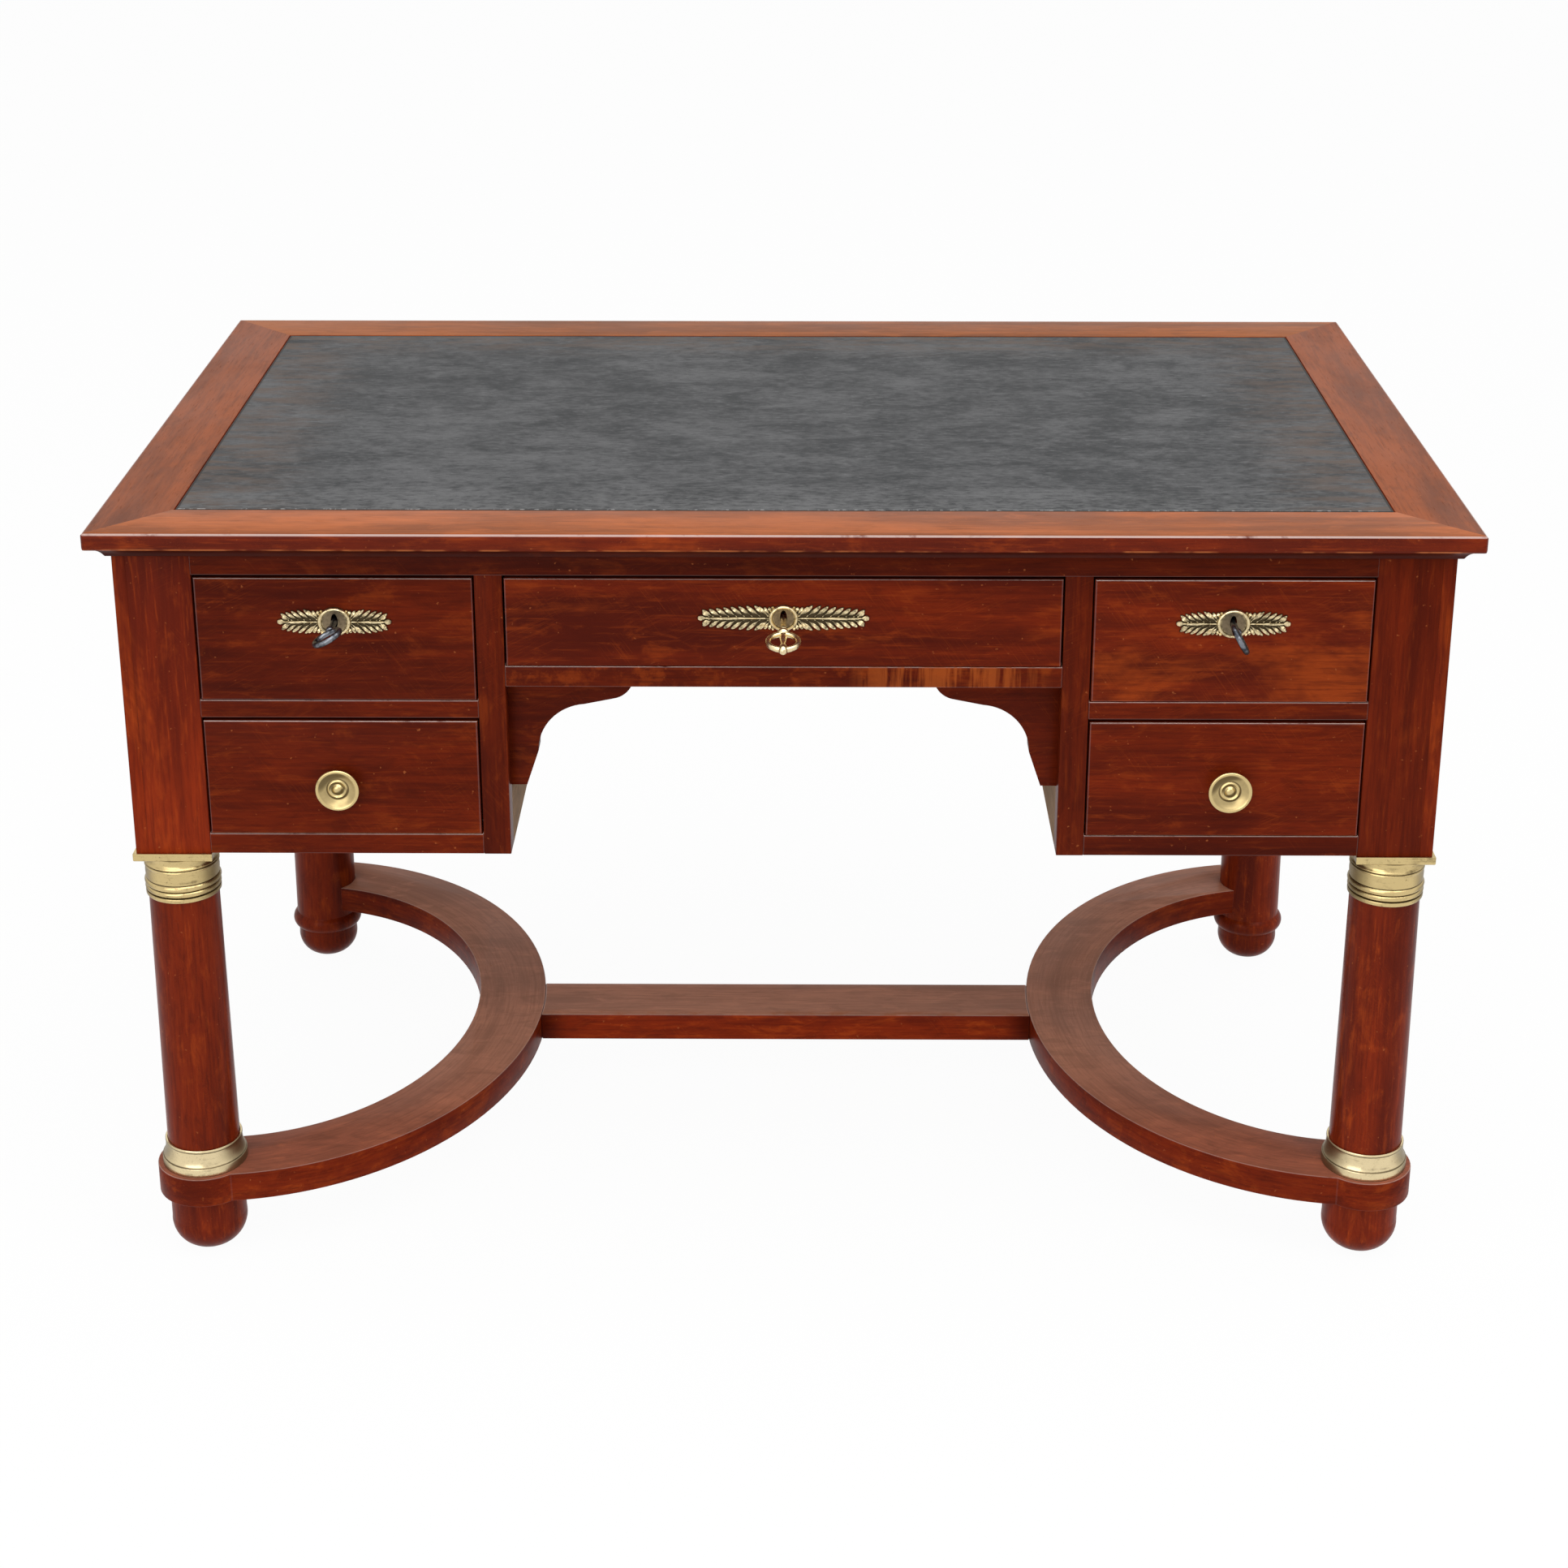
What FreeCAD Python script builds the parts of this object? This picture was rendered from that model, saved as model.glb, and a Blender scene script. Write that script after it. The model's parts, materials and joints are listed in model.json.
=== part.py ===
import FreeCAD, Part
import os
import re

import Sketcher
from FreeCAD import Placement, Rotation, Vector

# Flat desk in the Empire manner: a leather-lined top on a five-drawer case, carried by four
# turned columns that two oval stretchers and a cross bar tie together.
# Millimetres, +Z up. The origin is on the floor, midway across the whole desk, keys included.

SIZES = {
    # Top: mitred border round a panel lined with leather
    "top_width": 1250,
    "top_depth": 760,
    "desk_height": 762,
    "top_thickness": 27,
    "corner_radius": 5,
    "border_width": 70,
    "nose_height": 17,
    "nose_radius": 4.5,
    "cove_run": 17,
    "cove_depth": 1.5,
    "tongue_length": 8,
    "tongue_thickness": 8,
    "tongue_rise": 5,
    "leather_thickness": 1.6,
    "leather_gap": 1.2,
    "leather_sink": 0.4,
    # Case
    "front_overhang": 25,
    "side_overhang": 20.5,
    "back_overhang": 30,
    "side_thickness": 12,
    "post_width": 58,
    "kneehole_width": 508,
    "inner_thickness": 16,
    "stile_width": 25,
    "stile_depth": 25,
    "back_thickness": 16,
    "bottom_thickness": 12,
    "top_rail_height": 20,
    "mid_rail_height": 17,
    "bottom_rail_height": 20,
    "apron_height": 20,
    "upper_opening": 122,
    "lower_opening": 117,
    "centre_opening_height": 88,
    "runner_width": 25,
    "guide_height": 20,
    # Brackets in the corners of the knee-hole
    "corbel_reach": 116,
    "corbel_drop": 106,
    "corbel_thickness": 22,
    "corbel_setback": 20,
    "corbel_foot": 15,
    "lip_run": 19,
    "lip_drop": 19.5,
    "shoulder_reach": 70,
    "shoulder_drop": 25,
    "throat_reach": 36,
    "throat_drop": 43.5,
    "heel_flare": 11.5,
    "heel_drop": 72,
    # Drawers
    "drawer_gap_side": 1.8,
    "drawer_gap_top": 3.5,
    "drawer_gap_bottom": 0.8,
    "drawer_front_thickness": 22,
    "drawer_side_thickness": 10,
    "drawer_back_thickness": 10,
    "drawer_bottom_thickness": 6,
    "drawer_bottom_rise": 6,
    "drawer_bottom_groove": 5,
    "drawer_side_drop": 10,
    "drawer_back_room": 127,
    "running_gap": 0.3,
    # Locks, bolts and keys
    "side_key_drop": 44.5,
    "centre_key_drop": 40,
    "lock_width": 60,
    "lock_depth": 12,
    "lock_drop": 17,
    "chamber_radius": 12,
    "chamber_depth": 9,
    "bolt_width": 18,
    "bolt_thickness": 5,
    "bolt_back": 2.5,
    "bolt_travel": 8,
    "mortise_room": 1.5,
    "slot_width": 6.4,
    "slot_rise": 7,
    "slot_drop": 9,
    "key_reach": 57,
    "key_pivot": 5,
    "key_droop": 12,
    "left_key_turn": 40,
    "right_key_turn": -62,
    "stem_radius": 2.75,
    "bit_reach": 7,
    "bit_thickness": 2.4,
    "bit_length": 5,
    "bow_radius": 15,
    "bow_wire": 2.1,
    "collar_radius": 4.4,
    "collar_height": 6,
    "finial_radius": 3,
    # Leaf escutcheons
    "side_plate_length": 104,
    "side_plate_height": 24,
    "centre_plate_length": 156,
    "centre_plate_height": 27,
    "plate_thickness": 2.2,
    "ring_radius": 12.3,
    "ring_wire": 2,
    # Knobs
    "knob_radius": 20.5,
    "knob_rim": 3,
    "knob_stem_radius": 7.5,
    "knob_stem_length": 10,
    "knob_foot_radius": 10,
    "knob_foot_height": 3,
    "knob_dish": 4,
    "knob_button_radius": 5,
    "knob_button_height": 3,
    "knob_spigot_radius": 4,
    "knob_height": 50.5,
    "knob_offset": 4,
    # Columns and their brass mounts
    "column_inset": 34,
    "rear_column_inset": 42,
    "rear_column_side_inset": 52.5,
    "column_top_radius": 33,
    "column_foot_radius": 35.2,
    "tenon_radius": 26,
    "dowel_radius": 12,
    "post_dowel": 40,
    "foot_dowel": 30,
    "joint_fit": 0.1,
    "abacus_size": 74,
    "abacus_thickness": 8,
    "capital_radius": 33.2,
    "neck_height": 10,
    "neck_hollow": 3,
    "band_height": 17,
    "ring_height": 6.5,
    "ring_bulge": 2.8,
    "capital_lip_radius": 35.2,
    "capital_lip_height": 4.5,
    "base_radius": 41,
    "base_height": 27,
    "base_step": 8,
    "base_flare": 1.8,
    "base_hollow": 1.6,
    "foot_radius": 36.5,
    "foot_flat": 12,
    "dome_height": 34,
    "rear_foot_radius": 34,
    "rear_dome_height": 30,
    "rear_ring_radius": 40,
    "rear_ring_bottom": 37,
    "rear_ring_height": 19,
    # Stretchers
    "stretcher_top": 94,
    "stretcher_thickness": 30,
    "stretcher_width": 72,
    "stretcher_swell": 6.5,
    "stretcher_flattening": 50,
    "stretcher_end": 10,
    "lobe_radius": 46,
    "bar_width": 72,
    "bar_setback": 7,
}

# Places worked out from the sizes above; a name may use the names before it.
LAYOUT = {
    "top_centre": "(key_reach - front_overhang) / 2",
    "top_front": "top_centre - top_depth / 2",
    "top_back": "top_centre + top_depth / 2",
    "half_top": "top_width / 2",
    "half_leaf": "half_top - border_width",
    "leaf_front": "top_front + border_width",
    "leaf_back": "top_back - border_width",
    "leather_bottom": "desk_height - leather_sink - leather_thickness",
    "nose_bottom": "desk_height - nose_height",
    "case_top": "desk_height - top_thickness",
    "tongue_bottom": "case_top + tongue_rise",
    "tongue_top": "tongue_bottom + tongue_thickness",
    "case_front": "top_front + front_overhang",
    "case_back": "top_back - back_overhang",
    "half_case": "half_top - side_overhang",
    "post_outer": "half_case - side_thickness",
    "post_inner": "post_outer - post_width",
    "post_back": "case_front + post_width",
    "rear_post_front": "case_back - post_width",
    "half_kneehole": "kneehole_width / 2",
    "inner_wall": "half_kneehole + inner_thickness",
    "stile_outer": "half_kneehole + stile_width",
    "stile_back": "case_front + stile_depth",
    "back_inside": "case_back - back_thickness",
    "opening_top": "case_top - top_rail_height",
    "upper_floor": "opening_top - upper_opening",
    "lower_ceiling": "upper_floor - mid_rail_height",
    "lower_floor": "lower_ceiling - lower_opening",
    "leg_height": "lower_floor - bottom_rail_height",
    "centre_floor": "opening_top - centre_opening_height",
    "apron_bottom": "centre_floor - apron_height",
    "pedestal_middle": "(stile_outer + post_inner) / 2",
    "front_back": "case_front + drawer_front_thickness",
    "box_back": "back_inside - drawer_back_room",
    "front_top": "opening_top - drawer_gap_top",
    "lock_front": "front_back - lock_depth",
    "bolt_far": "front_back - bolt_back",
    "bolt_near": "bolt_far - bolt_thickness",
    "key_tip": "lock_front + chamber_depth - running_gap - case_front - key_pivot",
    "bow_centre": "key_reach + key_pivot - bow_radius",
    "column_x": "half_case - column_inset",
    "column_y": "case_front + column_inset",
    "rear_x": "half_case - rear_column_side_inset",
    "rear_y": "case_back - rear_column_inset",
    "neck_top": "leg_height - abacus_thickness",
    "band_top": "neck_top - neck_height",
    "ring_top": "band_top - band_height",
    "capital_lip_top": "ring_top - 2 * ring_height",
    "capital_bottom": "capital_lip_top - capital_lip_height",
    "stretcher_bottom": "stretcher_top - stretcher_thickness",
    "oval_middle": "(column_y + rear_y) / 2 + stretcher_swell",
    "oval_depth": "(rear_y - column_y) / 2 + stretcher_swell",
    "oval_reach": "oval_depth - stretcher_flattening",
    "bar_middle": "oval_middle + bar_setback",
}

UPRIGHT = Rotation()
FORWARD = Rotation(Vector(1, 0, 0), 90)
SIDES = (("left", -1), ("right", 1))

doc = FreeCAD.newDocument("flat_desk")
sheet = doc.addObject("Spreadsheet::Sheet", "Dims")
nodes = []


def fill_sheet():
    for row, (alias, number) in enumerate(SIZES.items(), 1):
        sheet.set(f"A{row}", alias)
        sheet.set(f"B{row}", str(number))
        sheet.setAlias(f"B{row}", alias)
    doc.recompute()


def formula(text):
    """Turn plain names of sizes and places into an expression on the sheet."""
    def swap(match):
        word = match.group(0)
        if word in SIZES:
            return f"Dims.{word}"
        if word in LAYOUT:
            return f"({formula(LAYOUT[word])})"
        return word
    return re.sub(r"[a-z][a-z_]*", swap, text)


def value(text):
    return float(sheet.evalExpression(formula(text)))


def bind(item, **properties):
    for name, text in properties.items():
        item.setExpression(name, formula(text))
    return item


def place(item, x, y, z, facing=UPRIGHT):
    item.Placement = Placement(Vector(), facing)
    for axis, text in zip("xyz", (x, y, z)):
        item.setExpression(f"Placement.Base.{axis}", formula(text))
    return item


def node(name, *pieces):
    """Name a sub-part; several separate solids share it as a group."""
    item = pieces[0]
    if len(pieces) > 1:
        item = doc.addObject("Part::Compound", f"{name}_group")
        item.Links = list(pieces)
    item.Label = name
    nodes.append(item)
    return item


# Plain solids and booleans

def span(side, near, far):
    """Low and high X of something between two distances from the middle, on one side."""
    return (near, far) if side > 0 else (f"-({far})", f"-({near})")


def both(half):
    return (f"-({half})", half)


def board(name, x, y, z):
    box = doc.addObject("Part::Box", f"{name}_board")
    for size, axis, (low, high) in zip(("Length", "Width", "Height"), "xyz", (x, y, z)):
        box.setExpression(size, formula(f"({high}) - ({low})"))
        box.setExpression(f"Placement.Base.{axis}", formula(low))
    return box


def rod(name, radius, height, x, y, z, facing=UPRIGHT):
    item = doc.addObject("Part::Cylinder", f"{name}_rod")
    bind(item, Radius=radius, Height=height)
    return place(item, x, y, z, facing)


def hoop(name, radius, wire, x, y, z, facing):
    item = doc.addObject("Part::Torus", f"{name}_hoop")
    bind(item, Radius1=radius, Radius2=wire)
    return place(item, x, y, z, facing)


def cut(base, *tools):
    for tool in tools:
        result = doc.addObject("Part::Cut", f"{base.Name}_cut")
        result.Base = base
        result.Tool = tool
        base = result
    return base


def keep(base, tool):
    result = doc.addObject("Part::Common", f"{base.Name}_kept")
    result.Base = base
    result.Tool = tool
    return result


def fuse(name, *pieces):
    result = doc.addObject("Part::MultiFuse", f"{name}_fused")
    result.Shapes = list(pieces)
    return result


# Sketched solids

def pin(sketch, geometry, end, u, v):
    """Hold one sketch point at coordinates that follow the sheet."""
    for kind, text in (("DistanceX", u), ("DistanceY", v)):
        index = sketch.addConstraint(Sketcher.Constraint(kind, -1, 1, geometry, end, value(text)))
        sketch.setExpression(f"Constraints[{index}]", formula(text))


def outline(body, plane, points):
    """Closed outline. A point is (u, v), or (u, v, via_u, via_v) where an arc leads to it."""
    sketch = body.newObject("Sketcher::SketchObject", f"{body.Name}_sketch")
    origin = next(item for item in body.Origin.OriginFeatures if item.Role == plane)
    sketch.AttachmentSupport = [(origin, "")]
    sketch.MapMode = "FlatFace"
    places = [Vector(value(point[0]), value(point[1]), 0) for point in points]
    vias = [Vector(value(point[2]), value(point[3]), 0) if len(point) == 4 else None for point in points]
    ends = []
    for index, via in enumerate(vias):
        start, stop = places[index - 1], places[index]
        # A sketch keeps its arcs anticlockwise, so one that turns the other way is drawn from its end.
        forward = via is None or (via - start).cross(stop - via).z > 0
        near, far = (start, stop) if forward else (stop, start)
        sketch.addGeometry(Part.Arc(near, via, far) if via else Part.LineSegment(near, far))
        ends.append((1, 2) if forward else (2, 1))
    last = len(points) - 1
    for index in range(len(points)):
        before = index - 1 if index else last
        sketch.addConstraint(
            Sketcher.Constraint("Coincident", before, ends[before][1], index, ends[index][0]))
    for index, (point, via) in enumerate(zip(points, vias)):
        pin(sketch, index, ends[index][1], *point[:2])
        if via:
            mark = sketch.addGeometry(Part.Point(via), True)
            sketch.addConstraint(Sketcher.Constraint("PointOnObject", mark, 1, index))
            pin(sketch, mark, 1, *point[2:])
    return sketch


def new_body(name):
    return doc.addObject("PartDesign::Body", f"{name}_body")


def turned(name, profile, x, y, z, facing=UPRIGHT):
    """A lathe piece from a half profile of (radius, height) points."""
    body = new_body(name)
    turning = body.newObject("PartDesign::Revolution", f"{name}_turning")
    turning.Profile = outline(body, "XZ_Plane", profile)
    turning.ReferenceAxis = (turning.Profile[0], ["V_Axis"])
    turning.Angle = 360
    return place(body, x, y, z, facing)


def sawn(name, plane, points, length, symmetric=False):
    """A flat outline given a thickness."""
    body = new_body(name)
    pad = body.newObject("PartDesign::Pad", f"{name}_pad")
    pad.Profile = outline(body, plane, points)
    pad.SideType = "Symmetric" if symmetric else "One side"
    bind(pad, Length=length)
    return body


# Top

def rounded_blank():
    half_depth = "top_depth / 2"
    inset = "corner_radius * (1 - sqrt(0.5))"
    points = []
    for sx, sy in ((1, 1), (-1, 1), (-1, -1), (1, -1)):
        ends = [(f"{sx} * half_top", f"{sy} * ({half_depth} - corner_radius)"),
                (f"{sx} * (half_top - corner_radius)", f"{sy} * {half_depth}")]
        start, stop = ends if sx == sy else reversed(ends)
        points.append(start)
        points.append((*stop, f"{sx} * (half_top - {inset})", f"{sy} * ({half_depth} - {inset})"))
    return place(sawn("rounded_blank", "XY_Plane", points, "desk_height"), "0", "top_centre", "0")


def border(name, length, x, y, angle, blank):
    """One mitred length of the moulded border; its section lies in the YZ plane."""
    bend = "nose_radius * (1 - sqrt(0.5))"
    section = [
        ("border_width", "desk_height"),
        ("nose_radius", "desk_height"),
        ("0", "desk_height - nose_radius", bend, f"desk_height - {bend}"),
        ("0", "nose_bottom + nose_radius"),
        ("nose_radius", "nose_bottom", bend, f"nose_bottom + {bend}"),
        ("cove_run", "case_top", "(nose_radius + cove_run) / 2 + cove_depth",
         "(nose_bottom + case_top) / 2 + cove_depth"),
        ("border_width", "case_top"),
        ("border_width", "tongue_bottom"),
        ("border_width - tongue_length", "tongue_bottom"),
        ("border_width - tongue_length", "tongue_top"),
        ("border_width", "tongue_top"),
    ]
    body = sawn(name, "YZ_Plane", section, length, symmetric=True)
    for sign in (-1, 1):
        end = f"{sign} * ({length}) / 2"
        mitre = body.newObject("PartDesign::Pocket", f"{name}_mitre")
        mitre.Profile = outline(body, "XY_Plane", [
            (end, "0"), (f"{end} - {sign} * border_width", "border_width"), (end, "border_width")])
        mitre.Type = "ThroughAll"
        mitre.SideType = "Symmetric"
    place(body, x, y, "0", Rotation(Vector(0, 0, 1), angle))
    node(name, keep(body, blank))


def make_top():
    blank = rounded_blank()
    border("top_border_front", "top_width", "0", "top_front", 0, blank)
    border("top_border_back", "top_width", "0", "top_back", 180, blank)
    border("top_border_left", "top_depth", "-half_top", "top_centre", -90, blank)
    border("top_border_right", "top_depth", "half_top", "top_centre", 90, blank)
    field = board("top_field", both("half_leaf"), ("leaf_front", "leaf_back"),
                  ("case_top", "leather_bottom"))
    tongue = board("top_tongue", both("half_leaf + tongue_length"),
                   ("leaf_front - tongue_length", "leaf_back + tongue_length"),
                   ("tongue_bottom", "tongue_top"))
    node("top_panel", fuse("top_panel", field, tongue))
    node("leather_inset", board(
        "leather", both("half_leaf - leather_gap"),
        ("leaf_front + leather_gap", "leaf_back - leather_gap"),
        ("leather_bottom", "leather_bottom + leather_thickness")))


# Case

def make_posts():
    rear = []
    for word, side in SIDES:
        across = span(side, "post_inner", "post_outer")
        height = ("leg_height", "case_top")
        front = board(f"front_post_{word}", across, ("case_front", "post_back"), height)
        back = board(f"rear_post_{word}", across, ("rear_post_front", "case_back"), height)
        hole = ("dowel_radius + joint_fit", "post_dowel + joint_fit")
        node(f"front_post_{word}", cut(front, rod(
            f"front_hole_{word}", *hole, f"{side} * column_x", "column_y", "leg_height")))
        rear.append(cut(back, rod(
            f"rear_hole_{word}", *hole, f"{side} * rear_x", "rear_y", "leg_height")))
    node("rear_posts", *rear)


def make_panels():
    height = ("leg_height", "case_top")
    stiles, backs = [], []
    for word, side in SIDES:
        node(f"side_panel_{word}", board(
            f"side_{word}", span(side, "post_outer", "half_case"), ("case_front", "case_back"), height))
        across = span(side, "half_kneehole", "inner_wall")
        inner = board(f"inner_{word}", across, ("stile_back", "case_back"), height)
        notch = board(f"rail_notch_{word}", across, ("stile_back", "post_back"), ("opening_top", "case_top"))
        node(f"inner_panel_{word}", cut(inner, notch))
        stiles.append(board(
            f"stile_{word}", span(side, "half_kneehole", "stile_outer"), ("case_front", "stile_back"),
            ("leg_height", "opening_top")))
        backs.append(board(
            f"back_{word}", span(side, "inner_wall", "post_inner"), ("back_inside", "case_back"), height))
    node("inner_stiles", *stiles)
    node("back_panels", *backs)
    node("back_apron", board(
        "back_apron", both("half_kneehole"), ("back_inside", "case_back"), ("apron_bottom", "case_top")))


def bolt_mortise(word, middle):
    room = "mortise_room"
    return board(f"mortise_{word}",
                 (f"{middle} - bolt_width / 2 - {room}", f"{middle} + bolt_width / 2 + {room}"),
                 (f"bolt_near - {room}", f"bolt_far + {room}"),
                 ("opening_top", f"front_top + bolt_travel + {room}"))


def make_rails():
    top_rail = board("top_rail", both("post_inner"), ("case_front", "post_back"),
                     ("opening_top", "case_top"))
    mortises = [bolt_mortise(word, middle) for word, middle, _ in LOCKS]
    node("top_rail", cut(top_rail, *mortises))
    node("apron_rail", board(
        "apron_rail", both("half_kneehole"), ("case_front", "stile_back"), ("apron_bottom", "centre_floor")))
    middle, bottom, floors = [], [], []
    for word, side in SIDES:
        across = span(side, "stile_outer", "post_inner")
        middle.append(board(
            f"mid_rail_{word}", across, ("case_front", "stile_back"), ("lower_ceiling", "upper_floor")))
        bottom.append(board(
            f"bottom_rail_{word}", across, ("case_front", "post_back"), ("leg_height", "lower_floor")))
        floor = board(f"floor_{word}", span(side, "inner_wall", "post_outer"), ("post_back", "back_inside"),
                      ("lower_floor - bottom_thickness", "lower_floor"))
        notch = board(f"floor_notch_{word}", span(side, "post_inner", "post_outer"),
                      ("rear_post_front", "case_back"), ("leg_height", "lower_floor"))
        floors.append(cut(floor, notch))
    node("middle_rails", *middle)
    node("bottom_rails", *bottom)
    node("bottom_boards", *floors)


def make_runners():
    """Runners under the upper and centre drawers, and the strips that guide the pedestal drawers."""
    runners, guides = [], []
    along = ("stile_back", "back_inside")
    for word, side in SIDES:
        upper = ("lower_ceiling", "upper_floor")
        runners.append(board(
            f"inner_runner_{word}", span(side, "inner_wall", "inner_wall + runner_width"), along, upper))
        runners.append(board(
            f"outer_runner_{word}", span(side, "post_inner - runner_width", "post_inner"), along, upper))
        runners.append(board(
            f"centre_runner_{word}", span(side, "half_kneehole - runner_width", "half_kneehole"), along,
            ("apron_bottom", "centre_floor")))
        for level, start in (("lower", "post_back"), ("upper", "stile_back")):
            guides.append(board(
                f"{level}_guide_{word}",
                span(side, "inner_wall", "stile_outer + drawer_gap_side - running_gap"),
                (start, "back_inside"), (f"{level}_floor", f"{level}_floor + guide_height")))
    node("drawer_runners", *runners)
    node("drawer_guides", *guides)


def corbel(word, side):
    def at(reach, drop):
        return (f"{side} * (half_kneehole - ({reach}))", f"apron_bottom - ({drop})")

    lip = at("corbel_reach - lip_run", "lip_drop")
    heel = at("corbel_foot + heel_flare", "heel_drop")
    points = [
        at("0", "0"),
        at("corbel_reach", "0"),
        (*lip, *at("corbel_reach - lip_run / 3", "lip_drop * 2 / 3")),
        at("shoulder_reach", "shoulder_drop"),
        (*heel, *at("throat_reach", "throat_drop")),
        at("corbel_foot", "corbel_drop"),
        at("0", "corbel_drop"),
    ]
    body = sawn(f"corbel_{word}", "XZ_Plane", points, "corbel_thickness")
    return place(body, "0", "case_front + corbel_setback + corbel_thickness", "0")


# Drawers

LOCKS = (
    ("left", "-pedestal_middle", "opening_top - side_key_drop"),
    ("centre", "0", "opening_top - centre_key_drop"),
    ("right", "pedestal_middle", "opening_top - side_key_drop"),
)


def make_drawer(name, x, floor, ceiling, *fittings):
    """A drawer: its front, less what is let into it, and a box whose bottom runs in grooves."""
    low, high = (f"{x[0]} + drawer_gap_side", f"{x[1]} - drawer_gap_side")
    side = "drawer_side_thickness"
    top = f"{ceiling} - drawer_gap_top - drawer_side_drop"
    base = f"{floor} + running_gap"
    sole = f"{base} + drawer_bottom_rise"
    bottom = board(f"{name}_bottom", (f"{low} + {side} - drawer_bottom_groove",
                                      f"{high} - {side} + drawer_bottom_groove"),
                   ("front_back - drawer_bottom_groove", "box_back"),
                   (sole, f"{sole} + drawer_bottom_thickness"))
    front = board(f"{name}_front", (low, high), ("case_front", "front_back"),
                  (f"{floor} + drawer_gap_bottom", f"{ceiling} - drawer_gap_top"))
    along = ("front_back", "box_back")
    sides = [board(f"{name}_side", across, along, (base, top))
             for across in ((low, f"{low} + {side}"), (f"{high} - {side}", high))]
    back = board(f"{name}_back", (f"{low} + {side}", f"{high} - {side}"),
                 ("box_back - drawer_back_thickness", "box_back"),
                 (f"{sole} + drawer_bottom_thickness", top))
    node(f"{name}_front", cut(front, bottom, *fittings))
    node(f"{name}_box", *(cut(item, bottom) for item in sides), back, bottom)


def lock_cuts(word, middle, height):
    """What a lock takes out of its drawer front: the let-in for the case and the key slot."""
    case = board(f"lock_{word}", (f"{middle} - lock_width / 2", f"{middle} + lock_width / 2"),
                 ("lock_front", "front_back"), (f"{height} - lock_drop", "front_top"))
    slot = board(f"slot_{word}", (f"{middle} - slot_width / 2", f"{middle} + slot_width / 2"),
                 ("case_front - plate_thickness", "lock_front"),
                 (f"{height} - slot_drop", f"{height} + slot_rise"))
    return case, slot


def make_lock(word, middle, height, case):
    chamber = rod(f"chamber_{word}", "chamber_radius", "chamber_depth",
                  middle, "lock_front + chamber_depth", height, FORWARD)
    seat = f"{height} + chamber_radius"
    half = "bolt_width / 2"
    channel = board(f"channel_{word}", (f"{middle} - {half} - running_gap", f"{middle} + {half} + running_gap"),
                    ("bolt_near - running_gap", "bolt_far + running_gap"), (seat, "front_top"))
    node(f"lock_{word}", cut(case, chamber, channel))
    node(f"bolt_{word}", board(
        f"bolt_{word}", (f"{middle} - {half}", f"{middle} + {half}"), ("bolt_near", "bolt_far"),
        (f"{seat} + running_gap", "front_top - running_gap")))


def make_escutcheon(word, middle, height, slot):
    size = "centre" if word == "centre" else "side"
    tip, rise = f"{size}_plate_length / 2", f"{size}_plate_height / 2"
    leaf = sawn(f"leaf_{word}", "XY_Plane", [
        (tip, "0", "0", rise), (f"-({tip})", "0", "0", f"-({rise})")], "plate_thickness")
    place(leaf, middle, "case_front", height, FORWARD)
    ring = hoop(f"ring_{word}", "ring_radius", "ring_wire", middle, "case_front - plate_thickness", height,
                FORWARD)
    node(f"escutcheon_{word}", cut(fuse(f"escutcheon_{word}", leaf, ring), slot))


def make_key(word, middle, height, turn, droop):
    """Key lying along its own Z, with its bow in the XZ plane, then set in the lock."""
    # A key that droops lies deeper on one side of its bit, so it ends sooner.
    tip = f"(key_tip - bit_reach * sin({droop})) / cos({droop})"
    collar = "bow_centre - bow_radius - collar_height / 2"
    profile = [
        ("0", f"-({tip})"),
        ("stem_radius", f"-({tip})"),
        ("stem_radius", collar),
        ("stem_radius", f"{collar} + collar_height", "collar_radius", f"{collar} + collar_height / 2"),
    ]
    if word == "centre":
        end = "bow_centre + bow_radius"
        profile += [
            ("bow_wire", f"{collar} + collar_height"),
            ("bow_wire", f"{end} - 2 * finial_radius"),
            ("finial_radius", f"{end} - 2 * finial_radius"),
            ("finial_radius / 2", end, "finial_radius", f"{end} - finial_radius"),
            ("0", end),
        ]
    else:
        profile.append(("0", f"{collar} + collar_height"))
    stem = turned(f"stem_{word}", profile, "0", "0", "0", Rotation(Vector(0, 0, 1), 45))
    bow = hoop(f"bow_{word}", "bow_radius - bow_wire", "bow_wire", "0", "0", "bow_centre", FORWARD)
    bit = board(f"bit_{word}", ("-bit_thickness / 2", "bit_thickness / 2"), ("-bit_reach", "0"),
                (f"-({tip})", f"bit_length - {tip}"))
    tilt = Rotation(Vector(1, 0, 0), 90 + value(droop))
    facing = tilt.multiply(Rotation(Vector(0, 0, 1), value(turn)))
    key = fuse(f"key_{word}", stem, bow, bit)
    node(f"key_{word}", place(key, middle, "case_front + key_pivot", height, facing))


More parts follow.
